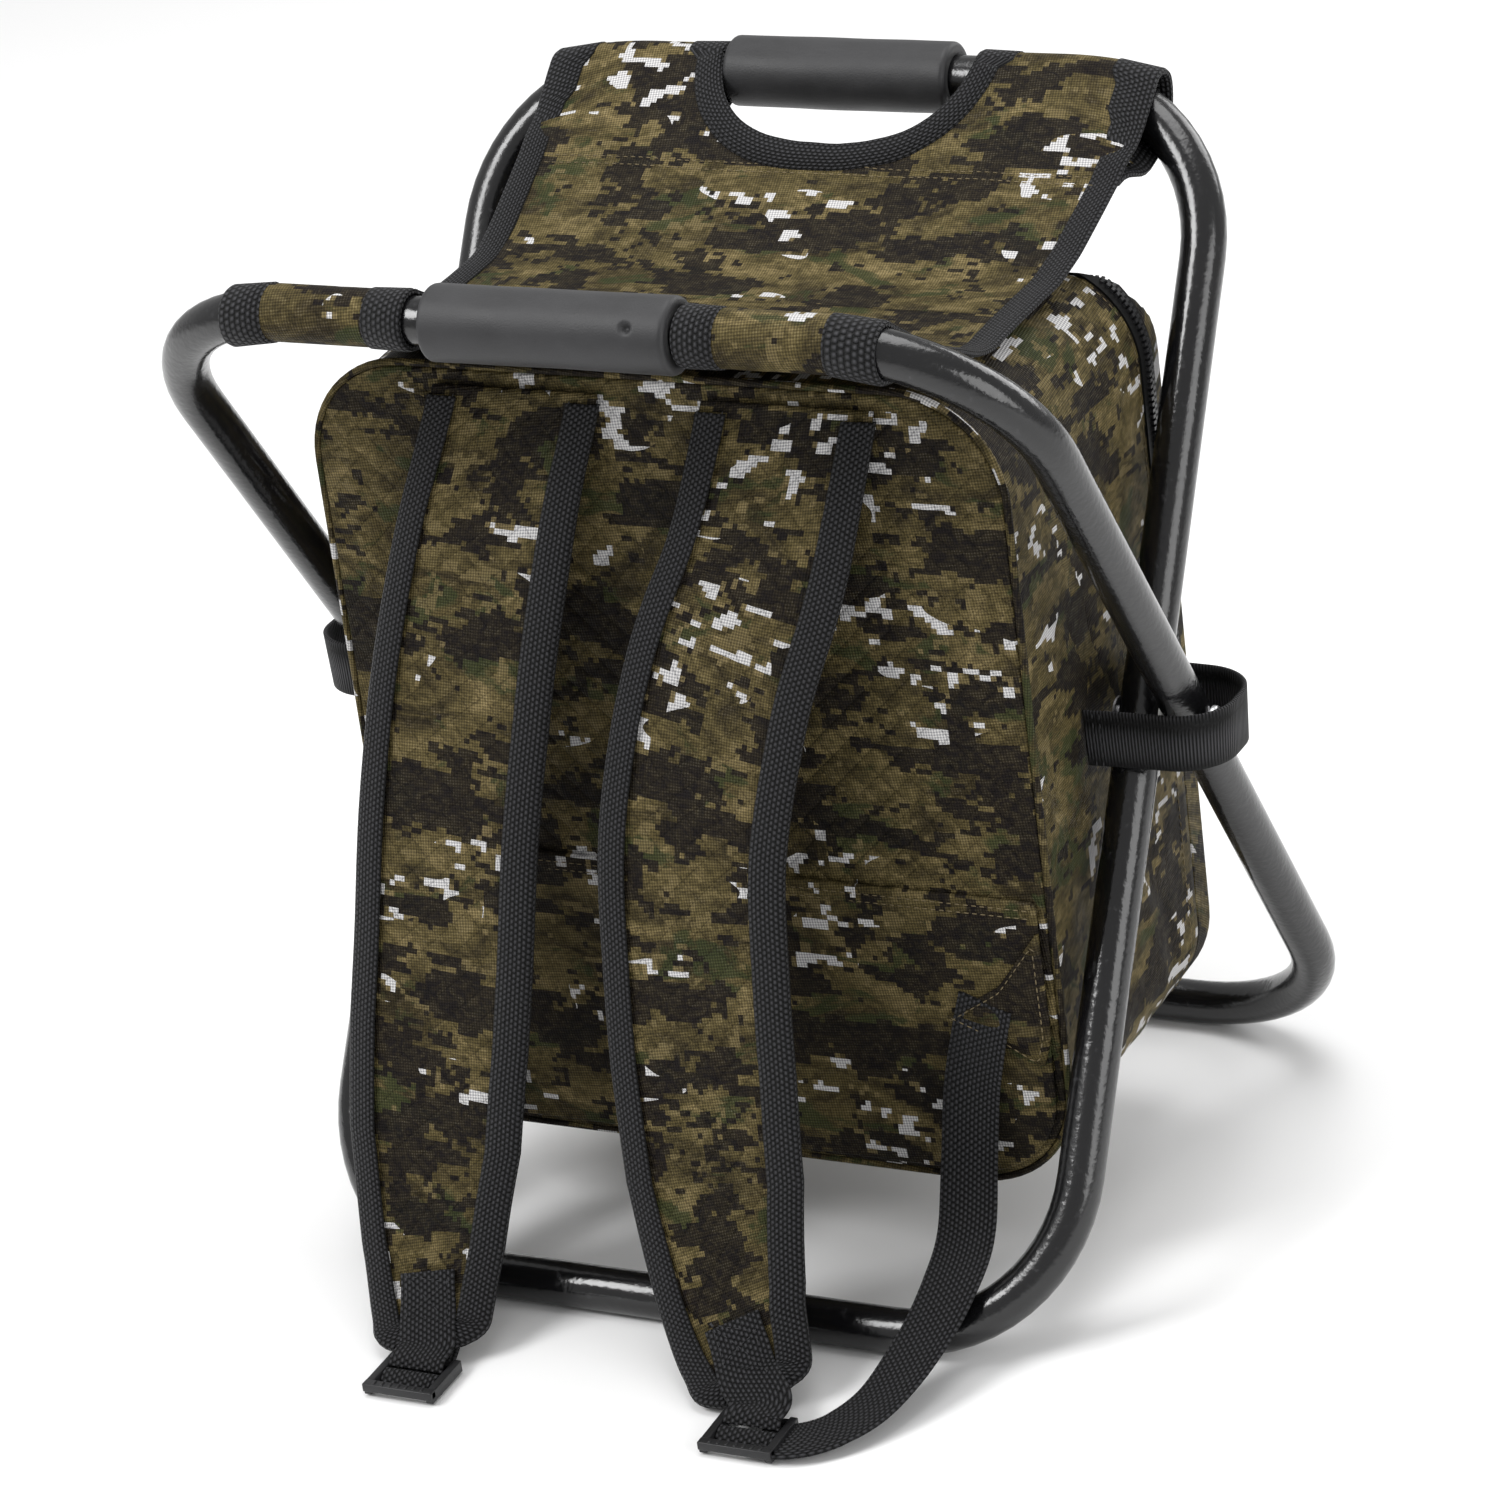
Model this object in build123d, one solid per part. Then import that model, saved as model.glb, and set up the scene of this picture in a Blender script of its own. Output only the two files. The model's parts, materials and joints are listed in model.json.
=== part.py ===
from build123d import *
from math import atan2, cos, degrees, hypot, radians, sin
import os

# Folding backpack stool: two rounded steel tube loops cross at a pivot on each side, an
# insulated fabric bag hangs between them, and a sling seat joins the two top bars.
# Millimetres. X runs across, near side is -Y, +Z is up. The origin is on the floor,
# midway between the feet and straight below the pivots.

# ---- driving dimensions ----
TUBE_R = 9.5
TUBE_WALL = 1.0
HALF_SPREAD = 144.0
TOP_BAR_Z = 438.5
OUTER_HALF_WIDTH = 186.0
INNER_HALF_WIDTH = 165.0
BEND_R = 71.0
TUBE_GAP = 1.0
SPIGOT_LENGTH = 60.0
SLIP = 0.1

JOINT_RIVET_R = 2.4
JOINT_RIVET_X = 18.0
JOINT_TAIL_R = 3.6
SPIGOT_WALL = 1.5
RIVET_R = 3.0
RIVET_HEAD_R = 6.0
RIVET_HEAD_T = 2.6
RUNNING_CLEARANCE = 0.05
WASHER_R = 7.5

GRIP_R = 15.5
GRIP_CLEARANCE = 0.2
NEAR_GRIP_X = (-49.0, 56.0)
FAR_GRIP_X = (-56.0, 46.0)
SLEEVE_R = 12.5
SLEEVE_CLEARANCE = 0.25
SLEEVE_LIP = 22.0
SLEEVE_LIP_T = 5.0
SLEEVE_END_X = 140.0
BINDING_W = 17.0
BINDING_T = 1.0

BAG_HALF_WIDTH = 150.5
BAG_NEAR_Y = -80.0
BAG_FAR_Y = 88.0
BAG_BOTTOM_Z = 47.0
BAG_TOP_Z = 391.0
BAG_CORNER_R = 44.0
FAR_TOP_R = 45.0
FAR_BOTTOM_R = 20.0
FABRIC_T = 1.4
FOAM_T = 5.0
LINER_T = 0.8
LAYER_GAP = 0.2
ZIP_PLANE_Y = 70.0
FLAP_HINGE_Z = 165.0
ZIP_GAP = 0.4
PIPING_R = 1.6
ZIP_TAPE_W = 6.0
ZIP_TAPE_T = 0.9
ZIP_COIL_W = 2.4
ZIP_COIL_T = 1.6
FLAP_INNER_GAP = 2.0
SLIDER_LENGTH = 12.0
SLIDER_WIDTH = 11.0
SLIDER_T = 3.4
SLIDER_LOW_Z = 176.0
PULL_LENGTH = 24.0
PULL_WIDTH = 6.0
PULL_T = 1.4
PULL_KNUCKLE_R = 0.85
PULL_PIN_R = 0.45

BACK_POCKET_TOP_Z = 178.0
BACK_POCKET_T = 1.8
BACK_POCKET_INSET = 3.0
FRONT_POCKET_INSET = 20.0
FRONT_POCKET_TOP_Z = 146.0
FRONT_POCKET_DEPTH = 8.0

SEAT_HALF_WIDTH = 139.0
SEAT_T = 2.5
SEAT_FLAT_Y = 36.0
SEAT_SEAM_Y = 92.0
SEAT_SEAM_Z = 415.5
SEAT_END_Y = 98.0
SEAT_END_Z = 417.75
SEAT_GAP = 0.6
SEAT_BINDING_W = 10.0
SEAT_BINDING_T = 0.9
SEAT_BINDING_OVER = 1.2

STRAP_T = 8.0
STRAP_WEB_W = 25.0
STRAP_WEB_T = 1.4
TAB_LIFT = 1.2
CORNER_TAB_T = 2.4
BUCKLE_W = 32.0
BUCKLE_L = 27.0
BUCKLE_T = 5.5
BUCKLE_LOW_Z = 1.0
BUCKLE_RAIL = 3.0
BUCKLE_SLOT = 4.6
BUCKLE_SLOT_PITCH = 7.6

LOOP_Z = (211.5, 236.5)
LOOP_HALF_Y = 26.5
LOOP_REACH_X = 207.0
LOOP_T = 2.2
LOOP_CORNER_R = 22.0

# ---- worked-out dimensions ----
PIVOT_Z = (TOP_BAR_Z + TUBE_R) / 2
LEG_RISE = TOP_BAR_Z - PIVOT_Z
LEG_HALF = hypot(HALF_SPREAD, LEG_RISE)
BAG_MID_Y = (BAG_NEAR_Y + BAG_FAR_Y) / 2
BAG_MID_Z = (BAG_BOTTOM_Z + BAG_TOP_Z) / 2
BAG_HEIGHT = BAG_TOP_Z - BAG_BOTTOM_Z
BIG = 600.0
SLEEVE_SPACE = 80.0

nodes = {}


# ---- helpers ----
def prism_along_y(sketch, y_low, y_high):
    """Extrude an outline drawn as (x, z) between two y values."""
    plane = Plane(origin=(0, y_high, 0), x_dir=(1, 0, 0), z_dir=(0, -1, 0))
    return extrude(plane * sketch, amount=y_high - y_low)


def prism_along_x(sketch, x_low, x_high):
    """Extrude a profile drawn as (y, z) between two x values."""
    plane = Plane(origin=(x_low, 0, 0), x_dir=(0, 1, 0), z_dir=(1, 0, 0))
    return extrude(plane * sketch, amount=x_high - x_low)


def block(x_range, y_range, z_range):
    """Box from three (low, high) pairs."""
    low = Vector(x_range[0], y_range[0], z_range[0])
    high = Vector(x_range[1], y_range[1], z_range[1])
    size = high - low
    middle = (low + high) * 0.5
    return Pos(middle.X, middle.Y, middle.Z) * Box(size.X, size.Y, size.Z)


def rod_along_x(x_low, x_high, radius, y, z):
    """Round rod whose axis lies along X."""
    middle = (x_low + x_high) / 2
    return Pos(middle, y, z) * (Rot(0, 90, 0) * Cylinder(radius, x_high - x_low))


def tube_along_x(x_low, x_high, radius, bore, y, z):
    """Round tube whose axis lies along X."""
    return rod_along_x(x_low, x_high, radius, y, z) - rod_along_x(x_low - 1, x_high + 1, bore, y, z)


def ribbon(points, widths, thickness, lift=0.0, turns=None):
    """Flat band through points; lift moves it towards its outer face, turns rotate its width about Z."""
    count = len(points)
    turns = turns or [0.0] * count
    path = [Vector(*p) for p in points]
    sections = []
    for i, point in enumerate(path):
        before = path[max(i - 1, 0)]
        after = path[min(i + 1, count - 1)]
        tangent = (after - before).normalized()
        across = Vector(cos(radians(turns[i])), sin(radians(turns[i])), 0)
        across = (across - tangent * across.dot(tangent)).normalized()
        outward = tangent.cross(across)
        plane = Plane(origin=point + outward * lift, x_dir=across, z_dir=tangent)
        sections.append(plane * Rectangle(widths[i], thickness))
    return loft(sections, ruled=True)


# ---- frame loops ----
def loop_path(half_width, lean):
    """Centre line of one tube loop, open at the joint in its top bar; lean is -1 when its top is near."""
    plane = Plane(
        origin=(0, 0, PIVOT_Z),
        x_dir=(1, 0, 0),
        z_dir=(0, -LEG_RISE / LEG_HALF, lean * HALF_SPREAD / LEG_HALF),
    )
    corners = [
        (TUBE_GAP / 2, LEG_HALF),
        (half_width, LEG_HALF),
        (half_width, -LEG_HALF),
        (-half_width, -LEG_HALF),
        (-half_width, LEG_HALF),
        (-TUBE_GAP / 2, LEG_HALF),
    ]
    return plane * FilletPolyline(*corners, radius=BEND_R)


def swept_rod(path, radius):
    """Solid rod along a path."""
    start = Plane(path @ 0, z_dir=path % 0)
    return sweep(start * Circle(radius), path=path)


def joint_rivet(x, y):
    """Blind rivet that locks the spigot in the top bar; its head is flush under the grip."""
    shank_low = TOP_BAR_Z + TUBE_R - 3.9
    shank = Pos(x, y, shank_low + 1.9) * Cylinder(JOINT_RIVET_R, 3.8)
    tail = Pos(x, y, shank_low - 0.6) * Cylinder(JOINT_TAIL_R, 1.2)
    return shank + tail


def rivet_hole(x, y):
    """Hole for one joint rivet through the upper walls of bar and spigot."""
    return Pos(x, y, TOP_BAR_Z + TUBE_R - 1.0) * Cylinder(JOINT_RIVET_R + RUNNING_CLEARANCE, 8.0)


def sleeve_parts(path, y, x_low, x_high):
    """Fabric sleeve round a top bar with a short lip towards the seat, and its two end bindings."""
    towards_seat = 1 if y < 0 else -1
    fall = degrees(atan2(TOP_BAR_Z - SEAT_SEAM_Z, HALF_SPREAD - SEAT_SEAM_Y))
    lip = Pos(SLEEVE_LIP / 2, 0) * Rectangle(SLEEVE_LIP, SLEEVE_LIP_T)
    lip = Rot(0, 0, -fall if towards_seat > 0 else 180 + fall) * lip
    lip = prism_along_x(Pos(y, TOP_BAR_Z) * lip, x_low, x_high)
    space_y = (y - SLEEVE_SPACE, y + SLEEVE_SPACE)
    space_z = (TOP_BAR_Z - SLEEVE_SPACE, TOP_BAR_Z + SLEEVE_SPACE)
    span = block((x_low, x_high), space_y, space_z)
    bore = swept_rod(path, TUBE_R + SLEEVE_CLEARANCE)
    sleeve = (swept_rod(path, SLEEVE_R) & span) + lip - bore
    cover = (swept_rod(path, SLEEVE_R + BINDING_T) & span) - bore - sleeve
    ends = block((x_low, x_low + BINDING_W), space_y, space_z)
    ends += block((x_high - BINDING_W, x_high), space_y, space_z)
    return sleeve, cover & ends


def loop_block(lean, x_range, run_range):
    """Box in the plane of a loop; run is measured up the legs from the pivot."""
    plane = Plane(
        origin=(0, 0, PIVOT_Z),
        x_dir=(1, 0, 0),
        z_dir=(0, -LEG_RISE / LEG_HALF, lean * HALF_SPREAD / LEG_HALF),
    )
    width = x_range[1] - x_range[0]
    height = run_range[1] - run_range[0]
    middle = Pos((x_range[0] + x_range[1]) / 2, (run_range[0] + run_range[1]) / 2, 0)
    return plane.location * middle * Box(width, height, 4 * TUBE_R)


def split_loop(name, tube, lean, half_width):
    """Part a loop where its bends start: top bar, top bends, legs, foot bends and foot bar."""
    bend_x = half_width - BEND_R
    bend_run = LEG_HALF - BEND_R
    across = (-bend_x, bend_x)
    sides = [(-BIG, -bend_x), (bend_x, BIG)]
    nodes[name + "_top_bar"] = tube & loop_block(lean, across, (bend_run, BIG))
    nodes[name + "_foot_bar"] = tube & loop_block(lean, across, (-BIG, -bend_run))
    for part, run_range in (
        ("_top_bends", (bend_run, BIG)),
        ("_legs", (-bend_run, bend_run)),
        ("_foot_bends", (-BIG, -bend_run)),
    ):
        pieces = []
        for side in sides:
            pieces += (tube & loop_block(lean, side, run_range)).solids()
        nodes[name + part] = Compound(children=pieces)


def build_loop(name, side, half_width, y, grip_x, sleeve_gaps):
    """Make the tube, spigot, rivets, grip and sleeves of one loop; y is its top bar's place."""
    lean = -1 if y < 0 else 1
    path = loop_path(half_width, lean)
    tube = swept_rod(path, TUBE_R) - swept_rod(path, TUBE_R - TUBE_WALL)
    spigot_r = TUBE_R - TUBE_WALL - SLIP
    spigot = tube_along_x(-SPIGOT_LENGTH / 2, SPIGOT_LENGTH / 2, spigot_r, spigot_r - SPIGOT_WALL, y, TOP_BAR_Z)
    rivets = []
    for x in (-JOINT_RIVET_X, JOINT_RIVET_X):
        tube -= rivet_hole(x, y)
        spigot -= rivet_hole(x, y)
        rivets.append(joint_rivet(x, y))
    for x_side in (-1, 1):
        hole = rod_along_x(-2 * TUBE_R, 2 * TUBE_R, RIVET_R + RUNNING_CLEARANCE, 0, PIVOT_Z)
        tube -= Pos(x_side * half_width, 0, 0) * hole
    split_loop(name, tube, lean, half_width)
    nodes[name + "_spigot"] = spigot
    nodes[name + "_joint_rivets"] = Compound(children=rivets)
    grip = tube_along_x(grip_x[0], grip_x[1], GRIP_R, TUBE_R + GRIP_CLEARANCE, y, TOP_BAR_Z)
    rims = grip.edges().filter_by(GeomType.CIRCLE).filter_by(lambda e: e.radius > GRIP_R - 0.1)
    nodes[side + "_grip"] = fillet(rims, 1.5)
    left, left_ends = sleeve_parts(path, y, -SLEEVE_END_X, -sleeve_gaps[0])
    right, right_ends = sleeve_parts(path, y, sleeve_gaps[1], SLEEVE_END_X)
    nodes[side + "_sleeve_left"] = left
    nodes[side + "_sleeve_right"] = right
    nodes[side + "_sleeve_bindings"] = Compound(children=left_ends.solids() + right_ends.solids())


build_loop("outer", "near", OUTER_HALF_WIDTH, -HALF_SPREAD, NEAR_GRIP_X, (55.0, 58.0))
build_loop("inner", "far", INNER_HALF_WIDTH, HALF_SPREAD, FAR_GRIP_X, (58.0, 55.0))


# ---- pivots ----
def build_pivots():
    """Rivets, spacers and back washers where the loops cross; all turn with the outer loop."""
    outside = OUTER_HALF_WIDTH + TUBE_R
    between = (INNER_HALF_WIDTH + TUBE_R, OUTER_HALF_WIDTH - TUBE_R)
    inside = INNER_HALF_WIDTH - TUBE_R
    rivets = []
    spacers = []
    washers = []
    for x_side in (-1, 1):
        turn = Rot(0, 0, 0 if x_side > 0 else 180)
        shank = rod_along_x(inside - 1.0, outside, RIVET_R, 0, PIVOT_Z)
        head = rod_along_x(outside, outside + RIVET_HEAD_T, RIVET_HEAD_R, 0, PIVOT_Z)
        rim = head.edges().filter_by(GeomType.CIRCLE).sort_by(Axis.X)[-1]
        rivets.append(turn * (shank + fillet(rim, 2.0)))
        spacer = tube_along_x(between[0] + SLIP, between[1], WASHER_R, RIVET_R, 0, PIVOT_Z)
        spacers.append(turn * spacer)
        washer = tube_along_x(inside - 1.0, inside - SLIP, WASHER_R - 1.0, RIVET_R, 0, PIVOT_Z)
        washers.append(turn * washer)
    nodes["pivot_rivets"] = Compound(children=rivets)
    nodes["pivot_spacers"] = Compound(children=spacers)
    nodes["pivot_washers"] = Compound(children=washers)


build_pivots()


# ---- bag ----
def bag_outline(inset):
    """Bag seen from the front, as (x, z), with every edge moved in by inset."""
    width = 2 * (BAG_HALF_WIDTH - inset)
    outline = RectangleRounded(width, BAG_HEIGHT - 2 * inset, BAG_CORNER_R - inset)
    return Pos(0, BAG_MID_Z) * outline


def bag_form(inset):
    """Closed bag body with every wall moved in by inset; its far top edge is rounded over."""
    depth = BAG_FAR_Y - BAG_NEAR_Y - 2 * inset
    profile = Pos(BAG_MID_Y, BAG_MID_Z) * Rectangle(depth, BAG_HEIGHT - 2 * inset)
    far_top = profile.vertices().sort_by(lambda v: v.X + v.Y)[-1]
    profile = fillet(far_top, FAR_TOP_R - inset)
    far_bottom = profile.vertices().sort_by(lambda v: v.X - v.Y)[-1]
    profile = fillet(far_bottom, FAR_BOTTOM_R - inset)
    return prism_along_y(bag_outline(inset), -BIG, BIG) & prism_along_x(profile, -BIG, BIG)


def layer(inset, thickness):
    """One closed layer of the bag wall."""
    return bag_form(inset) - bag_form(inset + thickness)


def flap_zone(gap):
    """Space of the front flap, kept clear of the fixed bag by gap."""
    return block((-BIG, BIG), (ZIP_PLANE_Y + gap, BIG), (FLAP_HINGE_Z + gap, BIG))


def foam_pads(foam):
    """Part the fixed insulation into pads: back, top, bottom, two sides, four corners and front."""
    wall = FABRIC_T + LAYER_GAP + FOAM_T
    back_y = BAG_NEAR_Y + wall
    front_y = BAG_FAR_Y - FAR_BOTTOM_R
    straight_x = BAG_HALF_WIDTH - BAG_CORNER_R
    straight_z = (BAG_BOTTOM_Z + BAG_CORNER_R, BAG_TOP_Z - BAG_CORNER_R)
    rows = [(-BIG, straight_z[0]), straight_z, (straight_z[1], BIG)]
    columns = [(-BIG, -straight_x), (-straight_x, straight_x), (straight_x, BIG)]
    pads = (foam & block((-BIG, BIG), (-BIG, back_y), (-BIG, BIG))).solids()
    pads += (foam & block((-BIG, BIG), (front_y, BIG), (-BIG, BIG))).solids()
    ring = foam & block((-BIG, BIG), (back_y, front_y), (-BIG, BIG))
    for row in rows:
        for column in columns:
            if row != rows[1] or column != columns[1]:
                pads += (ring & block(column, (-BIG, BIG), row)).solids()
    return Compound(children=pads)


def build_bag():
    """Outer fabric, insulation and lining, fixed part and flap."""
    skin = layer(0, FABRIC_T)
    back_face = BAG_NEAR_Y + FABRIC_T
    nodes["back_panel"] = skin & block((-BIG, BIG), (-BIG, back_face), (-BIG, BIG))
    nodes["gusset"] = skin & block((-BIG, BIG), (back_face, ZIP_PLANE_Y), (-BIG, BIG))
    nodes["front_panel"] = skin & block((-BIG, BIG), (ZIP_PLANE_Y, BIG), (-BIG, FLAP_HINGE_Z))
    nodes["flap_panel"] = skin & flap_zone(ZIP_GAP)
    foam = layer(FABRIC_T + LAYER_GAP, FOAM_T)
    nodes["insulation_foam"] = foam_pads(foam - flap_zone(0))
    nodes["flap_foam"] = foam & flap_zone(FLAP_INNER_GAP)
    lining = layer(FABRIC_T + FOAM_T + 2 * LAYER_GAP, LINER_T)
    nodes["liner"] = lining - flap_zone(0)
    nodes["flap_lining"] = lining & flap_zone(FLAP_INNER_GAP)


def build_zips():
    """Tapes and coils of the zip that runs up one side, over the top and down the other."""
    tape = layer(-ZIP_TAPE_T, ZIP_TAPE_T)
    coil = layer(-ZIP_TAPE_T - ZIP_COIL_T, ZIP_COIL_T)
    above = (FLAP_HINGE_Z + ZIP_GAP, BIG)
    fixed_edge = ZIP_PLANE_Y
    flap_edge = ZIP_PLANE_Y + ZIP_GAP
    nodes["bag_zip_tape"] = tape & block((-BIG, BIG), (fixed_edge - ZIP_TAPE_W, fixed_edge), above)
    nodes["flap_zip_tape"] = tape & block((-BIG, BIG), (flap_edge, flap_edge + ZIP_TAPE_W), above)
    nodes["bag_zip_coil"] = coil & block((-BIG, BIG), (fixed_edge - ZIP_COIL_W, fixed_edge), above)
    nodes["flap_zip_coil"] = coil & block((-BIG, BIG), (flap_edge, flap_edge + ZIP_COIL_W), above)


def build_slider():
    """Zip slider on the left side's straight run, and its pull hung on a pin between two ears."""
    face_x = -(BAG_HALF_WIDTH + ZIP_TAPE_T + ZIP_COIL_T) - LAYER_GAP * 2
    middle_y = ZIP_PLANE_Y + ZIP_GAP / 2
    outer_x = face_x - SLIDER_T
    y_range = (middle_y - SLIDER_WIDTH / 2, middle_y + SLIDER_WIDTH / 2)
    slider = block((outer_x, face_x), y_range, (SLIDER_LOW_Z, SLIDER_LOW_Z + SLIDER_LENGTH))
    slider = fillet(slider.edges().filter_by(Axis.X), SLIDER_WIDTH / 4)
    pin_x = outer_x - LAYER_GAP - PULL_T / 2
    pin_z = SLIDER_LOW_Z + 4 * PULL_KNUCKLE_R
    across = Rot(90, 0, 0)
    pin = Pos(pin_x, middle_y, pin_z) * (across * Cylinder(PULL_PIN_R, PULL_WIDTH + 2.0))
    slider += pin
    for y_side in (-1, 1):
        ear_y = middle_y + y_side * (PULL_WIDTH / 2 + SLIP + PULL_PIN_R)
        ear_x = (pin_x - PULL_KNUCKLE_R, outer_x)
        ear_z = (pin_z - PULL_KNUCKLE_R, pin_z + PULL_KNUCKLE_R)
        slider += block(ear_x, (ear_y - PULL_PIN_R, ear_y + PULL_PIN_R), ear_z)
    nodes["zip_slider"] = slider
    pull_y = (middle_y - PULL_WIDTH / 2, middle_y + PULL_WIDTH / 2)
    pull = block((pin_x - PULL_T / 2, pin_x + PULL_T / 2), pull_y, (pin_z - PULL_LENGTH, pin_z))
    pull = fillet(pull.edges().filter_by(Axis.X).group_by(Axis.Z)[0], PULL_WIDTH / 3)
    pull += Pos(pin_x, middle_y, pin_z) * (across * Cylinder(PULL_KNUCKLE_R, PULL_WIDTH))
    bore = Cylinder(PULL_PIN_R + RUNNING_CLEARANCE, PULL_WIDTH + 1.0)
    nodes["zip_pull"] = pull - Pos(pin_x, middle_y, pin_z) * (across * bore)
    print("pull pin at", pin_x, middle_y, pin_z)


def build_trim():
    """Piping round the near edge, and the pockets on both faces."""
    grow = PIPING_R + SLIP
    ring = bag_outline(-grow).wire()
    plane = Plane(origin=(0, BAG_NEAR_Y + PIPING_R, 0), x_dir=(1, 0, 0), z_dir=(0, -1, 0))
    ring = plane * ring
    start = Plane(ring @ 0, z_dir=ring % 0)
    nodes["near_piping"] = sweep(start * Circle(PIPING_R), path=ring)
    low_half = Pos(0, BACK_POCKET_TOP_Z - BIG / 2) * Rectangle(BIG, BIG)
    patch = bag_outline(BACK_POCKET_INSET) & low_half
    nodes["back_pocket"] = prism_along_y(patch, BAG_NEAR_Y - BACK_POCKET_T, BAG_NEAR_Y)
    low_half = Pos(0, FRONT_POCKET_TOP_Z - BIG / 2) * Rectangle(BIG, BIG)
    far_y = BAG_FAR_Y + FRONT_POCKET_DEPTH
    outside = prism_along_y(bag_outline(FRONT_POCKET_INSET) & low_half, BAG_FAR_Y, far_y)
    hollow = prism_along_y(bag_outline(FRONT_POCKET_INSET + FABRIC_T), BAG_FAR_Y, far_y - FABRIC_T)
    nodes["front_pocket"] = outside - hollow


def build_side_loops():
    """Bands on the bag's sides that hold the crossing of the legs."""
    edge = BAG_HALF_WIDTH + SLIP
    reach = LOOP_REACH_X - edge
    for name, x_side in (("left", -1), ("right", 1)):
        outside = RectangleRounded(2 * reach, 2 * LOOP_HALF_Y, LOOP_CORNER_R)
        inside = RectangleRounded(2 * (reach - LOOP_T), 2 * (LOOP_HALF_Y - LOOP_T), LOOP_CORNER_R - LOOP_T)
        band = Pos(x_side * edge, 0, LOOP_Z[0]) * extrude(outside - inside, amount=LOOP_Z[1] - LOOP_Z[0])
        reach_x = sorted((x_side * edge, x_side * BIG))
        nodes["side_loop_" + name] = band & block(reach_x, (-BIG, BIG), (-BIG, BIG))


# ---- seat ----
def seat_slab(low, high, x_low, x_high):
    """Sling between the sleeve seams, from low below its underside to high above it."""
    under_z = BAG_TOP_Z + SEAT_GAP
    line = [
        (-SEAT_END_Y, SEAT_END_Z),
        (-SEAT_SEAM_Y, SEAT_SEAM_Z),
        (-SEAT_FLAT_Y, under_z),
        (SEAT_FLAT_Y, under_z),
        (SEAT_SEAM_Y, SEAT_SEAM_Z),
        (SEAT_END_Y, SEAT_END_Z),
    ]
    below = [(y, z - low) for y, z in line]
    above = [(y, z + high) for y, z in reversed(line)]
    return prism_along_x(Polygon(*below, *above, align=None), x_low, x_high)


def build_seat():
    """Sling seat panel and the binding folded over each of its side edges."""
    nodes["seat_panel"] = seat_slab(0, SEAT_T, -SEAT_HALF_WIDTH, SEAT_HALF_WIDTH)
    bindings = []
    for x_side in (-1, 1):
        inner_x = x_side * (SEAT_HALF_WIDTH - SEAT_BINDING_W)
        edges_x = sorted((inner_x, x_side * (SEAT_HALF_WIDTH + SEAT_BINDING_OVER)))
        strip = seat_slab(SEAT_GAP - SLIP, SEAT_T + SEAT_BINDING_T, edges_x[0], edges_x[1])
        bindings += (strip - nodes["seat_panel"]).solids()
    nodes["seat_bindings"] = Compound(children=bindings)


# ---- shoulder straps and their hardware ----
STRAP_LINE = [(-86.8, 386), (-96.5, 329), (-110.5, 274), (-126.3, 214), (-140.3, 159)]
STRAP_LINE += [(-151.2, 109.5), (-162.2, 64), (-176.5, 31), (-189, 15), (-200, 8)]
STRAP_WIDTHS = [74, 76, 78, 80, 80, 80, 80, 76, 62, 34]
STRAP_X = {
    "left": [-54, -69, -80, -88, -92, -97, -100, -98, -94, -90],
    "right": [65, 52, 33, 22, 23, 26, 31, 40, 50, 58],
}
BUCKLE_AT = {"left": (-90.0, -218.0), "right": (64.0, -222.0)}
WEBBING_ROUTE = {
    "left": [
        (-118, -86.0, 118), (-113, -88.5, 90), (-113, -98, 62), (-116, -118, 43),
        (-117, -140, 33), (-112, -160, 15), (-101, -179, 3.4), (-93.5, -199, 2.4),
    ],
    "right": [
        (118, -86.0, 118), (113, -88.5, 90), (113, -98, 62), (118, -118, 43),
        (120, -140, 34), (117, -164, 22), (109, -192, 10), (99, -211, 5.5), (89, -219, 4.6),
    ],
}
WEBBING_TURNS = {
    "left": [0, 0, 0, 0, 0, 6, 8, 2],
    "right": [0, 0, 0, 0, 0, -12, -25, -50, -74],
}
STRAP_TURNS = {
    "left": [0, 0, 0, 0, 0, 0, 0, 6, 12, 15],
    "right": [0, 0, 0, 0, 0, 0, 0, 15, 30, 34],
}


def build_buckle(x, y):
    """Ladder-lock buckle lying flat: a frame with three cross bars."""
    middle_z = BUCKLE_LOW_Z + BUCKLE_T / 2
    body = Pos(x, y, middle_z) * Box(BUCKLE_W, BUCKLE_L, BUCKLE_T)
    body = fillet(body.edges().filter_by(Axis.Z), BUCKLE_RAIL)
    for step in (-1, 0, 1):
        slot = Box(BUCKLE_W - 2 * BUCKLE_RAIL, BUCKLE_SLOT, 2 * BUCKLE_T)
        body -= Pos(x, y + step * BUCKLE_SLOT_PITCH, middle_z) * slot
    return body


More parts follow.
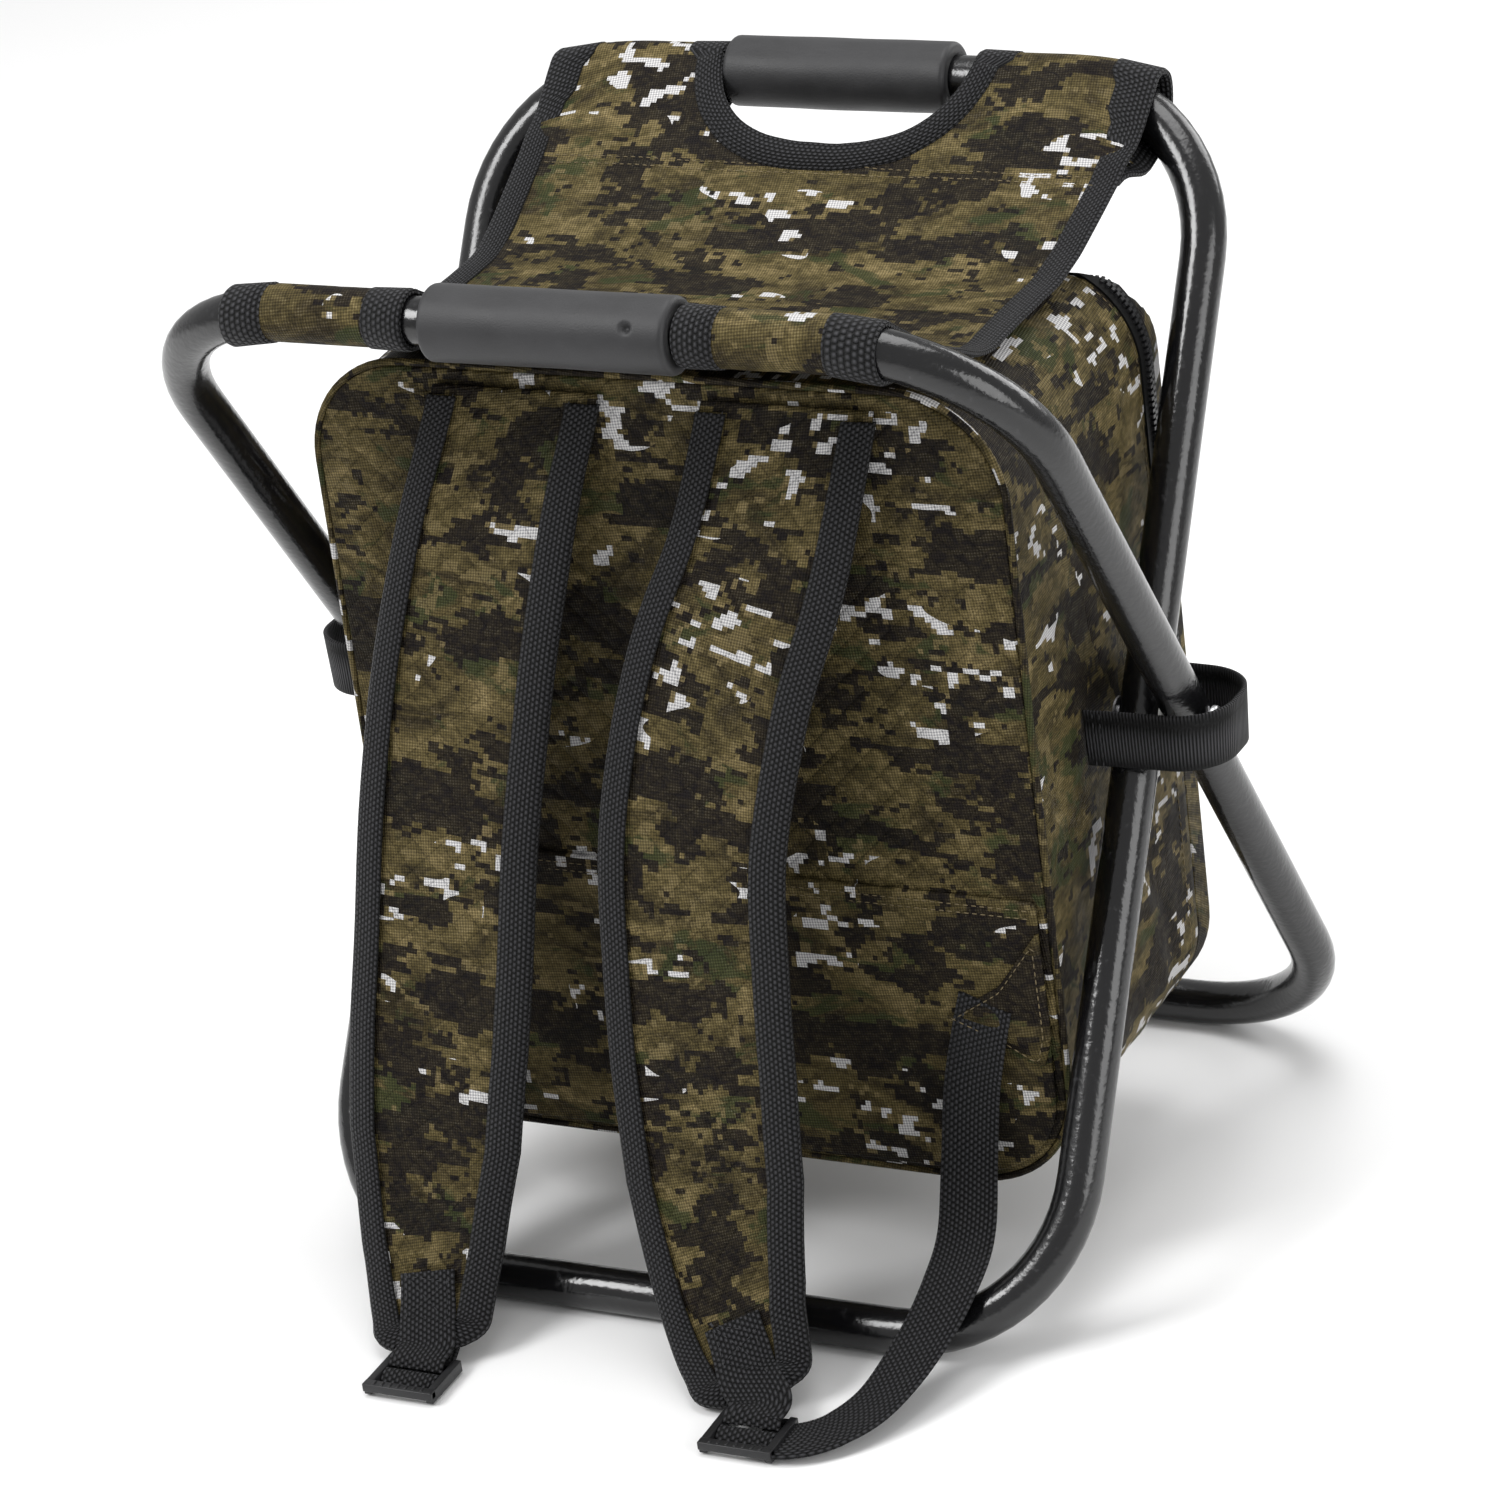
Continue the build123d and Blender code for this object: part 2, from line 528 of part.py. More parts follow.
def build_straps():
    """Padded straps, their webbing tabs, buckles, adjusters and the corner tabs on the bag."""
    for name, x_side in (("left", -1), ("right", 1)):
        points = [(x, y, z) for x, (y, z) in zip(STRAP_X[name], STRAP_LINE)]
        turns = STRAP_TURNS[name]
        nodes["shoulder_strap_" + name] = ribbon(points, STRAP_WIDTHS, STRAP_T, 0, turns)
        tab_widths = [STRAP_WEB_W] * 3
        lift = STRAP_T / 2 + STRAP_WEB_T / 2 + TAB_LIFT
        nodes["strap_tab_" + name] = ribbon(points[-3:], tab_widths, STRAP_WEB_T, lift, turns[-3:])
        nodes["buckle_" + name] = build_buckle(*BUCKLE_AT[name])
        route = WEBBING_ROUTE[name]
        widths = [STRAP_WEB_W] * len(route)
        nodes["adjuster_" + name] = ribbon(route, widths, STRAP_WEB_T, 0, WEBBING_TURNS[name])
        tab = Polygon((104, 119), (132, 119), (142, 122), (139, 150), align=None)
        face_y = BAG_NEAR_Y - BACK_POCKET_T - SLIP
        tab = prism_along_y(tab, face_y - CORNER_TAB_T, face_y)
        nodes["corner_tab_" + name] = tab if x_side > 0 else mirror(tab, about=Plane.YZ)


build_bag()
build_zips()
build_slider()
build_trim()
build_side_loops()
build_seat()
build_straps()

# ---- output ----
os.makedirs("parts", exist_ok=True)
for node, solid in nodes.items():
    export_step(solid, os.path.join("parts", node + ".step"))
print(len(nodes), "nodes written")
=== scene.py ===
"""Looks of a folding backpack stool: tube frame, sling seat, insulated bag, straps and trim."""

import json
import math

import bmesh
import bpy
import numpy as np
from bpy.props import FloatProperty, FloatVectorProperty, IntProperty, PointerProperty
from mathutils import Matrix, Vector, noise


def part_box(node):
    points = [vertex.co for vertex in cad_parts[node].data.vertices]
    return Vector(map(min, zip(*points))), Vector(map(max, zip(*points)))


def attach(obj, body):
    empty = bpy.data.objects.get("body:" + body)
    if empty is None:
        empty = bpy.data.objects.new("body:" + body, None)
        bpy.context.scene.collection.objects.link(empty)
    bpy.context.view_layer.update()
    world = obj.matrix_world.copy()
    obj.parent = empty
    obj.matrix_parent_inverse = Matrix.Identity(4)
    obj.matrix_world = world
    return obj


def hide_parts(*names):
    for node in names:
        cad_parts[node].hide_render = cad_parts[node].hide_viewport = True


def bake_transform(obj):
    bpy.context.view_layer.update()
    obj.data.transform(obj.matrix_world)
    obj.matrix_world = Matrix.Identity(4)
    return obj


bl_info = {
    "name": "Folding Backpack Stool",
    "version": (1, 0, 0),
    "blender": (4, 5, 0),
    "location": "View3D > Sidebar > Stool",
    "description": "Builds the fabric, trim, finishes and stage of a folding backpack stool",
    "category": "Object",
}

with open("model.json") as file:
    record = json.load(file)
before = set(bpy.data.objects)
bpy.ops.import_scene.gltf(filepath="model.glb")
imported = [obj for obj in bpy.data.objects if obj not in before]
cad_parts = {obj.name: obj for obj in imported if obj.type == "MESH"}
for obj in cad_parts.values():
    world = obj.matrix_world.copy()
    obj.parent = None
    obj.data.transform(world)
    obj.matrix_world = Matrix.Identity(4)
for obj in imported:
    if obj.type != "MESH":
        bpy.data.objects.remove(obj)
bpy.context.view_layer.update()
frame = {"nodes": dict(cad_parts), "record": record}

LOOP_PARTS = ("_top_bar", "_top_bends", "_legs", "_foot_bends", "_foot_bar")


def loop_box(name):
    """Box round all the parts of one tube loop."""
    corners = [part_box(name + part) for part in LOOP_PARTS]
    low = Vector([min(pair[0][k] for pair in corners) for k in range(3)])
    high = Vector([max(pair[1][k] for pair in corners) for k in range(3)])
    return low, high


# ---- places taken from the frame ----
OUTER_LOW, OUTER_HIGH = loop_box("outer")
INNER_LOW, INNER_HIGH = loop_box("inner")
SKIN_LOW, SKIN_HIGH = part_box("gusset")
BACK_LOW, BACK_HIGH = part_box("back_panel")
FLAP_LOW, FLAP_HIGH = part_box("flap_panel")
FRONT_LOW, FRONT_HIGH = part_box("front_panel")
HEM_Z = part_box("back_pocket")[1].z
POCKET_LOW, POCKET_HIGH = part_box("front_pocket")
TUBE_R = 0.0095
BAR_Z = OUTER_HIGH.z - TUBE_R
BAR_Y = OUTER_HIGH.y - TUBE_R
PIVOT_Z = (OUTER_HIGH.z + OUTER_LOW.z) / 2
LEG_HALF = math.hypot(BAR_Y, BAR_Z - PIVOT_Z)
BEND_R = 0.071
BEND_START = {-1: OUTER_HIGH.x - TUBE_R - BEND_R, 1: INNER_HIGH.x - TUBE_R - BEND_R}
FRAME_BODY = {-1: "outer_frame", 1: "inner_frame"}
BAG_HALF_W = SKIN_HIGH.x
BAG_LOW_Z = SKIN_LOW.z
BAG_HIGH_Z = SKIN_HIGH.z
BAG_MID_Z = (BAG_LOW_Z + BAG_HIGH_Z) / 2
BAG_NEAR_Y = BACK_LOW.y
BAG_FAR_Y = FLAP_HIGH.y
ZIP_Y = SKIN_HIGH.y
HINGE_Z = FRONT_HIGH.z
CORNER_R = 0.044
FAR_TOP_R = 0.045
FAR_BOTTOM_R = 0.020
FAR_SIDE_R = 0.0045
PIPING_R = 0.0016
SEAT_LOW_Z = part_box("seat_panel")[0].z

# ---- sizes shared by several pieces ----
CANVAS_GLOSS = 0.07
GLINT_GLOSS = 0.45
SKIN_SPAN_X = 0.15
SKIN_SPAN_Z = 0.17
BACK_EDGE = 0.0014
POCKET_INSET = 0.0035
STRAP_HALF = 0.040


# ---- settings ----
class StoolFabric(bpy.types.PropertyGroup):
    """Colours and scale of the camouflage canvas."""

    olive: FloatVectorProperty(name="Olive", description="Ground colour", subtype="COLOR",
                               size=3, min=0, max=1, default=(0.070, 0.056, 0.024))
    umber: FloatVectorProperty(name="Umber", description="Darker ground colour", subtype="COLOR",
                               size=3, min=0, max=1, default=(0.024, 0.019, 0.010))
    tan: FloatVectorProperty(name="Tan", description="Lighter ground colour", subtype="COLOR",
                             size=3, min=0, max=1, default=(0.150, 0.118, 0.058))
    green: FloatVectorProperty(name="Green", description="Leaf patches", subtype="COLOR",
                               size=3, min=0, max=1, default=(0.024, 0.031, 0.012))
    black: FloatVectorProperty(name="Black", description="Dark blotches", subtype="COLOR",
                               size=3, min=0, max=1, default=(0.0062, 0.0050, 0.0058))
    pale: FloatVectorProperty(name="Pale", description="Light clusters", subtype="COLOR",
                              size=3, min=0, max=1, default=(0.42, 0.42, 0.44))
    cell: FloatProperty(name="Cell", description="Side of one printed square", default=0.0023,
                        min=0.0005, max=0.01, unit="LENGTH")
    weave: FloatProperty(name="Weave pitch", description="Distance between threads", default=0.0017,
                         min=0.0003, max=0.004, unit="LENGTH")


class StoolFinish(bpy.types.PropertyGroup):
    """Colours of the frame, grips and trim."""

    paint: FloatVectorProperty(name="Paint", description="Tube powder coat", subtype="COLOR",
                               size=3, min=0, max=1, default=(0.0045, 0.0045, 0.005))
    grip: FloatVectorProperty(name="Grip foam", description="Foam carry grips", subtype="COLOR",
                              size=3, min=0, max=1, default=(0.020, 0.020, 0.0212))
    webbing: FloatVectorProperty(name="Webbing", description="Webbing and bindings", subtype="COLOR",
                                 size=3, min=0, max=1, default=(0.0068, 0.0068, 0.0074))
    plastic: FloatVectorProperty(name="Plastic", description="Buckles", subtype="COLOR",
                                 size=3, min=0, max=1, default=(0.016, 0.016, 0.017))


class StoolSling(bpy.types.PropertyGroup):
    """Sizes of the sling seat."""

    bar_half_width: FloatProperty(name="Half width at bar", description="Half width of the sling at a bar",
                                  default=0.1385, min=0.1, max=0.15, unit="LENGTH")
    waist_half_width: FloatProperty(name="Half width at waist", description="Half width midway between bars",
                                    default=0.130, min=0.1, max=0.15, unit="LENGTH")
    cut_half_width: FloatProperty(name="Cut-out half width", description="Half width of each hand cut-out",
                                  default=0.0585, min=0.03, max=0.08, unit="LENGTH")
    cut_depth: FloatProperty(name="Cut-out depth", description="Depth of each hand cut-out from the bar",
                             default=0.043, min=0.02, max=0.07, unit="LENGTH")
    seam_y: FloatProperty(name="Seam", description="Distance of the sleeve seam from the middle",
                          default=0.092, min=0.06, max=0.12, unit="LENGTH")
    thickness: FloatProperty(name="Thickness", description="Canvas thickness", default=0.0012,
                             min=0.0004, max=0.003, unit="LENGTH")
    binding: FloatProperty(name="Binding width", description="Tape folded over each edge", default=0.011,
                           min=0.004, max=0.02, unit="LENGTH")


class StoolBag(bpy.types.PropertyGroup):
    """Sizes of the bag's padding and creases."""

    quilt_pitch: FloatProperty(name="Quilt pitch", description="Distance between quilting lines",
                               default=0.0092, min=0.004, max=0.03, unit="LENGTH")
    quilt_height: FloatProperty(name="Quilt height", description="Height of each quilted diamond",
                                default=0.0007, min=0.0, max=0.002, unit="LENGTH")
    crease: FloatProperty(name="Crease height", description="Height of the creases in the sides",
                          default=0.0016, min=0.0, max=0.004, unit="LENGTH")
    skin: FloatProperty(name="Skin thickness", description="Coated canvas thickness", default=0.0011,
                        min=0.0004, max=0.003, unit="LENGTH")
    columns: IntProperty(name="Columns", description="Points along each straight side of a panel",
                         default=118, min=20, max=200)


class StoolStraps(bpy.types.PropertyGroup):
    """Sizes of the shoulder straps and webbing."""

    padding: FloatProperty(name="Padding", description="Thickness of a shoulder strap", default=0.0074,
                           min=0.003, max=0.02, unit="LENGTH")
    binding: FloatProperty(name="Binding width", description="Tape along each strap edge", default=0.0125,
                           min=0.004, max=0.02, unit="LENGTH")
    webbing_width: FloatProperty(name="Webbing width", description="Width of the adjusters", default=0.025,
                                 min=0.01, max=0.05, unit="LENGTH")
    webbing_thickness: FloatProperty(name="Webbing thickness", description="Thickness of the adjusters",
                                     default=0.0014, min=0.0005, max=0.004, unit="LENGTH")


class StoolStitches(bpy.types.PropertyGroup):
    """Sizes of the sewing thread and zip teeth."""

    stitch: FloatProperty(name="Stitch", description="Visible length of one stitch", default=0.0026,
                          min=0.001, max=0.006, unit="LENGTH")
    gap: FloatProperty(name="Gap", description="Gap between stitches", default=0.0010,
                       min=0.0002, max=0.004, unit="LENGTH")
    thread: FloatProperty(name="Thread", description="Thread thickness", default=0.00055,
                          min=0.0002, max=0.002, unit="LENGTH")
    tooth_pitch: FloatProperty(name="Tooth pitch", description="Distance between zip teeth", default=0.0026,
                               min=0.001, max=0.006, unit="LENGTH")


class StoolStage(bpy.types.PropertyGroup):
    """Floor, lights and camera."""

    floor: FloatVectorProperty(name="Floor", description="Floor colour", subtype="COLOR",
                               size=3, min=0, max=1, default=(0.86, 0.86, 0.86))
    key_power: FloatProperty(name="Key power", description="Power of the main soft light", default=52,
                             min=0, max=1000, unit="POWER")
    fill_power: FloatProperty(name="Fill power", description="Power of the fill light", default=22,
                              min=0, max=1000, unit="POWER")
    focal: FloatProperty(name="Focal length", description="Camera focal length in millimetres",
                         default=129.39, min=20, max=300)


SETTINGS = {
    "stool_fabric": StoolFabric,
    "stool_finish": StoolFinish,
    "stool_sling": StoolSling,
    "stool_bag": StoolBag,
    "stool_straps": StoolStraps,
    "stool_stitches": StoolStitches,
    "stool_stage": StoolStage,
}


# ---- node helpers ----
def add(tree, kind, inputs=None, **settings):
    """Add a node; an input's value is a number, a colour, or the socket that feeds it."""
    made = tree.nodes.new(kind)
    for name, value in settings.items():
        setattr(made, name, value)
    for key, value in (inputs or {}).items():
        if isinstance(value, bpy.types.NodeSocket):
            tree.links.new(value, made.inputs[key])
        else:
            made.inputs[key].default_value = value
    return made


def math_node(tree, operation, a, b=0.0):
    """One arithmetic step."""
    return add(tree, "ShaderNodeMath", {0: a, 1: b}, operation=operation).outputs[0]


def product(tree, a, b):
    """Two values multiplied."""
    return math_node(tree, "MULTIPLY", a, b)


def above(tree, value, limit):
    """1 where a value is over a limit, else 0."""
    return math_node(tree, "GREATER_THAN", value, limit)


def tinted(tree, colour, value, low, high, dark, light):
    """Colour multiplied by a tint that goes from dark to light as a value goes from low to high."""
    tint = mix_colour(tree, step_up(tree, value, low, high), dark, light)
    return mix_colour(tree, 1.0, colour, tint, "MULTIPLY")


def ranged(tree, value, low, high, target_low, target_high):
    """Value carried from one range to another."""
    inputs = {0: value, 1: low, 2: high, 3: target_low, 4: target_high}
    return add(tree, "ShaderNodeMapRange", inputs).outputs[0]


def mix_colour(tree, factor, a, b, blend_type="MIX"):
    """Mix two colours."""
    step = add(tree, "ShaderNodeMix", {0: factor, 6: a, 7: b}, data_type="RGBA", blend_type=blend_type)
    return step.outputs[2]


def rgba(colour):
    """Colour with full alpha."""
    return (*colour, 1.0)


def grey(level):
    """Even tint."""
    return (level, level, level, 1)


def scaled(colour, share):
    """Colour made lighter or darker."""
    return rgba(tuple(min(1.0, channel * share) for channel in colour))


def new_material(name):
    """Empty material, its tree and its shader."""
    made = bpy.data.materials.new(name)
    made.use_nodes = True
    tree = made.node_tree
    return made, tree, tree.nodes["Principled BSDF"]


def noise_at(tree, vector, scale, detail=2.0, roughness=0.5, distortion=0.0):
    """Noise value at a vector."""
    return add(tree, "ShaderNodeTexNoise", {
        "Vector": vector, "Scale": scale, "Detail": detail, "Roughness": roughness, "Distortion": distortion,
    }).outputs[0]


def step_up(tree, value, low, high):
    """Ramp from 0 at low to 1 at high."""
    return ranged(tree, value, low, high, 0.0, 1.0)


def moved(tree, vector, offset, stretch=(1, 1, 1)):
    """Vector shifted and stretched, so that each printed layer has its own pattern."""
    return add(tree, "ShaderNodeMapping", {0: vector, 1: offset, 3: stretch}).outputs[0]


def bumped(tree, height, distance, strength=1.0):
    """Normal raised by a height."""
    inputs = {"Strength": strength, "Distance": distance, "Height": height}
    return add(tree, "ShaderNodeBump", inputs).outputs[0]


# ---- materials ----
def camo_material(name, fabric, quilt_pitch=None):
    """Square-celled camouflage on coated canvas; patterns follow each piece's UV map, in metres."""
    made, tree, shader = new_material(name)
    uv = add(tree, "ShaderNodeUVMap", uv_map="cloth").outputs[0]
    cell = (fabric.cell,) * 3
    snapped = add(tree, "ShaderNodeVectorMath", {0: uv, 1: cell}, operation="SNAP").outputs[0]

    # ground: olive between umber and tan, with a fine grain
    ground = noise_at(tree, moved(tree, uv, (0.3, 0.1, 0), (1, 1.9, 1)), 30, 7, 0.66, 0.9)
    colour = mix_colour(tree, step_up(tree, ground, 0.36, 0.52), rgba(fabric.umber), rgba(fabric.olive))
    colour = mix_colour(tree, step_up(tree, ground, 0.53, 0.72), colour, rgba(fabric.tan))
    grain = noise_at(tree, moved(tree, uv, (1.3, 2.1, 0), (1, 1.5, 1)), 170, 4, 0.6, 1.4)
    colour = tinted(tree, colour, grain, 0.34, 0.66, grey(0.62), (1.35, 1.33, 1.28, 1))

    # soft leaf patches
    leaf = noise_at(tree, moved(tree, uv, (4.2, 0.7, 0), (1, 1.7, 1)), 24, 5, 0.62, 0.6)
    leaf_mask = product(tree, step_up(tree, leaf, 0.555, 0.60), 0.8)
    colour = mix_colour(tree, leaf_mask, colour, rgba(fabric.green))

    # scattered light squares
    chips = noise_at(tree, moved(tree, snapped, (7.7, 3.3, 0), (1, 1.3, 1)), 85, 1.5, 0.6)
    chip_zone = noise_at(tree, moved(tree, uv, (2.9, 8.1, 0)), 13, 1, 0.5)
    chip_mask = product(tree, above(tree, chips, 0.60), above(tree, chip_zone, 0.47))
    light_olive = mix_colour(tree, 0.55, rgba(fabric.olive), rgba(fabric.tan))
    colour = mix_colour(tree, product(tree, chip_mask, 0.75), colour, light_olive)

    # dark blotches and spots
    blotch = noise_at(tree, moved(tree, snapped, (5.1, 6.4, 0), (1, 2.0, 1)), 19, 4, 0.60)
    blotch_mask = above(tree, blotch, 0.52)
    spots = noise_at(tree, moved(tree, snapped, (9.4, 1.8, 0), (1, 1.4, 1)), 58, 2, 0.6)
    dark_mask = math_node(tree, "MAXIMUM", blotch_mask, above(tree, spots, 0.63))
    ink = mix_colour(tree, step_up(tree, grain, 0.40, 0.75), rgba(fabric.black), rgba(fabric.umber))
    colour = mix_colour(tree, product(tree, dark_mask, 0.95), colour, ink)

    # pale clusters with a tan rim
    pale = noise_at(tree, moved(tree, snapped, (3.6, 9.9, 0), (1, 1.5, 1)), 76, 1, 0.5)
    pale_zone = noise_at(tree, moved(tree, uv, (6.6, 4.4, 0), (1, 1.8, 1)), 9.5, 2, 0.55)
    zone_mask = above(tree, pale_zone, 0.552)
    rim_mask = product(tree, above(tree, pale, 0.575), zone_mask)
    colour = mix_colour(tree, product(tree, rim_mask, 0.7), colour, rgba(fabric.tan))
    colour = mix_colour(tree, product(tree, above(tree, pale, 0.60), zone_mask), colour, rgba(fabric.pale))

    # weave, laid at a slant: painted highlight on thread crests, painted shade in the gaps
    turned = add(tree, "ShaderNodeMapping", {0: uv, 2: (0, 0, math.radians(38))}).outputs[0]
    parts = add(tree, "ShaderNodeSeparateXYZ", {0: turned})
    turns = 2 * math.pi / fabric.weave
    warp, weft = (math_node(tree, "SINE", product(tree, parts.outputs[k], turns)) for k in (0, 1))
    threads = product(tree, warp, weft)
    colour = tinted(tree, colour, threads, -0.8, 0.9, grey(0.55), (1.55, 1.52, 1.42, 1))

    # gloss that wears off in patches, and crumpled cloth
    wear = noise_at(tree, moved(tree, uv, (0.5, 0.5, 0)), 40, 4, 0.6)
    tree.links.new(ranged(tree, wear, 0.3, 0.7, 0.48, 0.66), shader.inputs["Roughness"])
    glints = product(tree, step_up(tree, threads, 0.2, 0.9), step_up(tree, grain, 0.5, 0.7))
    gloss = {0: glints, 1: GLINT_GLOSS, 2: CANVAS_GLOSS}
    tree.links.new(add(tree, "ShaderNodeMath", gloss, operation="MULTIPLY_ADD").outputs[0],
                   shader.inputs["Specular IOR Level"])
    crumple = noise_at(tree, moved(tree, uv, (8, 8, 0)), 95, 3, 0.6)
    height = math_node(tree, "ADD", product(tree, threads, 0.16), crumple)
    normal = bumped(tree, height, 0.0011, 0.8)
    if quilt_pitch:
        diamonds = quilt_nodes(tree, uv, quilt_pitch)
        # painted shade: the canvas is darkened towards each quilting seam, where the diamonds dip
        colour = tinted(tree, colour, diamonds, 0.0, 0.45, grey(0.62), grey(1))
        normal = add(tree, "ShaderNodeBump", {"Strength": 0.5, "Distance": 0.0012, "Height": diamonds,
                                              "Normal": normal}).outputs[0]
    tree.links.new(colour, shader.inputs["Base Color"])
    tree.links.new(normal, shader.inputs["Normal"])
    return made


def humps(tree, value, turns):
    """Row of rounded humps from 0 to 1, one for each half turn."""
    return math_node(tree, "ABSOLUTE", math_node(tree, "SINE", product(tree, value, turns)))


def quilt_nodes(tree, uv, pitch):
    """Height of diamonds sewn at 45 degrees, from 0 on a seam to 1 in the middle."""
    parts = add(tree, "ShaderNodeSeparateXYZ", {0: uv})
    turns = math.pi / (pitch * math.sqrt(2))
    lines = []
    for operation in ("ADD", "SUBTRACT"):
        slant = math_node(tree, operation, parts.outputs[0], parts.outputs[1])
        lines.append(humps(tree, slant, turns))
    return math_node(tree, "POWER", math_node(tree, "MINIMUM", lines[0], lines[1]), 0.5)


def webbing_material(name, colour, length, width, shift=0.5):
    """Woven tape: short raised threads of one length and width, each row shifted against the next."""
    made, tree, shader = new_material(name)
    uv = add(tree, "ShaderNodeUVMap", uv_map="cloth").outputs[0]
    parts = add(tree, "ShaderNodeSeparateXYZ", {0: uv})
    rows = math_node(tree, "DIVIDE", parts.outputs[1], width)
    odd = product(tree, math_node(tree, "MODULO", math_node(tree, "FLOOR", rows), 2.0), shift)
    steps = math_node(tree, "ADD", math_node(tree, "DIVIDE", parts.outputs[0], length), odd)
    threads = product(tree, humps(tree, steps, math.pi), humps(tree, rows, math.pi))
    fuzz = noise_at(tree, moved(tree, uv, (1, 2, 0)), 700, 2, 0.6)
    # painted highlight on the raised threads and painted shade in the dips between them; the fuzz adds
    # lighter flecks
    light = scaled(colour, 6.5)
    tint = mix_colour(tree, step_up(tree, threads, 0.25, 1.0), scaled(colour, 0.1), light)
    tint = mix_colour(tree, product(tree, step_up(tree, fuzz, 0.5, 0.8), 0.25), tint, light)
    tree.links.new(tint, shader.inputs["Base Color"])
    shader.inputs["Roughness"].default_value = 0.6
    shader.inputs["Sheen Weight"].default_value = 0.03
    shader.inputs["Specular IOR Level"].default_value = 0.15
    tree.links.new(bumped(tree, threads, 0.0009, 1.0), shader.inputs["Normal"])
    return made


def paint_material(finish):
    """Gloss powder coat with faint orange peel and smudges."""
    made, tree, shader = new_material("gloss black powder coat")
    place = add(tree, "ShaderNodeTexCoord").outputs["Object"]
    smudge = noise_at(tree, place, 14, 5, 0.6, 0.4)
    dust = noise_at(tree, place, 260, 3, 0.6)
    tint = mix_colour(tree, step_up(tree, dust, 0.62, 0.80), rgba(finish.paint), (0.030, 0.030, 0.032, 1))
    tree.links.new(tint, shader.inputs["Base Color"])
    tree.links.new(ranged(tree, smudge, 0.3, 0.7, 0.13, 0.27), shader.inputs["Roughness"])
    shader.inputs["Coat Weight"].default_value = 0.15
    shader.inputs["Coat Roughness"].default_value = 0.12
    peel = noise_at(tree, place, 420, 2, 0.5)
    waves = product(tree, noise_at(tree, place, 60, 2, 0.5), 1.6)
    tree.links.new(bumped(tree, math_node(tree, "ADD", peel, waves), 0.00035, 0.5), shader.inputs["Normal"])
    return made


def rough_material(name, colour, roughness, grain, depth, metallic=0.0, sheen=0.0):
    """Moulded or foamed surface with a fine grain and slight colour change."""
    made, tree, shader = new_material(name)
    place = add(tree, "ShaderNodeTexCoord").outputs["Object"]
    cells = noise_at(tree, place, grain, 3, 0.6)
    patches = noise_at(tree, place, 35, 4, 0.6)
    light = scaled(colour, 1.35)
    tint = mix_colour(tree, step_up(tree, patches, 0.3, 0.7), scaled(colour, 0.75), light)
    tint = mix_colour(tree, product(tree, step_up(tree, cells, 0.6, 0.8), 0.3), tint, light)
    tree.links.new(tint, shader.inputs["Base Color"])
    tree.links.new(ranged(tree, patches, 0.3, 0.7, roughness - 0.06, roughness + 0.06),
                   shader.inputs["Roughness"])
    shader.inputs["Metallic"].default_value = metallic
    shader.inputs["Sheen Weight"].default_value = sheen
    shader.inputs["Specular IOR Level"].default_value = 0.35
    tree.links.new(bumped(tree, cells, depth, 0.6), shader.inputs["Normal"])
    return made


def foil_material():
    """Wipe-clean lining with soft dents."""
    made, tree, shader = new_material("silver lining")
    place = add(tree, "ShaderNodeTexCoord").outputs["Object"]
    dents = noise_at(tree, place, 55, 4, 0.55, 0.8)
    tint = mix_colour(tree, dents, (0.50, 0.52, 0.54, 1), (0.72, 0.74, 0.76, 1))
    tree.links.new(tint, shader.inputs["Base Color"])
    shader.inputs["Metallic"].default_value = 0.75
    shader.inputs["Roughness"].default_value = 0.34
    tree.links.new(bumped(tree, dents, 0.003, 0.7), shader.inputs["Normal"])
    return made


MATERIALS = {}


def material(name):
    """A finish made earlier."""
    if name not in MATERIALS:
        raise RuntimeError("run the finishes operator first: no finish named " + name)
    return MATERIALS[name]


# ---- mesh helpers ----
def link(made):
    """Put an object in the scene."""
    bpy.context.collection.objects.link(made)
    return made


def grid_mesh(name, points, uvs, wrap_rows=False, wrap_columns=False, keep=None, finish="camo"):
    """Smooth quad mesh from rows of points; uvs has one more row or column where the grid wraps."""
    rows, columns = points.shape[:2]
    row_steps = rows if wrap_rows else rows - 1
    column_steps = columns if wrap_columns else columns - 1
    i, j = np.meshgrid(np.arange(row_steps), np.arange(column_steps), indexing="ij")
    if keep is not None:
        kept = keep[i, j]
        i, j = i[kept], j[kept]
    i, j = i.ravel(), j.ravel()
    next_i, next_j = (i + 1) % rows, (j + 1) % columns
    row, next_row = i * columns, next_i * columns
    faces = np.stack([row + j, row + next_j, next_row + next_j, next_row + j], 1)
    mesh = bpy.data.meshes.new(name)
    mesh.from_pydata(points.reshape(-1, 3).tolist(), [], faces.tolist())
    layer = mesh.uv_layers.new(name="cloth")
    corners = np.stack([uvs[i, j], uvs[i, j + 1], uvs[i + 1, j + 1], uvs[i + 1, j]], 1)
    layer.data.foreach_set("uv", corners.reshape(-1).astype(np.float32))
    mesh.materials.append(material(finish))
    made = link(bpy.data.objects.new(name, mesh))
    tidy_mesh(made)
    return made


def tidy_mesh(made, weld=1e-6):
    """Merge doubles, drop loose points, face outwards and shade smooth."""
    work = bmesh.new()
    work.from_mesh(made.data)
    bmesh.ops.remove_doubles(work, verts=work.verts, dist=weld)
    bmesh.ops.dissolve_degenerate(work, dist=1e-7, edges=work.edges)
    loose = [vert for vert in work.verts if not vert.link_faces]
    bmesh.ops.delete(work, geom=loose, context="VERTS")
    bmesh.ops.recalc_face_normals(work, faces=work.faces)
    for face in work.faces:
        face.smooth = True
    work.to_mesh(made.data)
    work.free()


def baked(made):
    """Turn an object's modifiers into its plain mesh."""
    bpy.context.view_layer.update()
    graph = bpy.context.evaluated_depsgraph_get()
    mesh = bpy.data.meshes.new_from_object(made.evaluated_get(graph))
    made.modifiers.clear()
    made.data = mesh
    return made


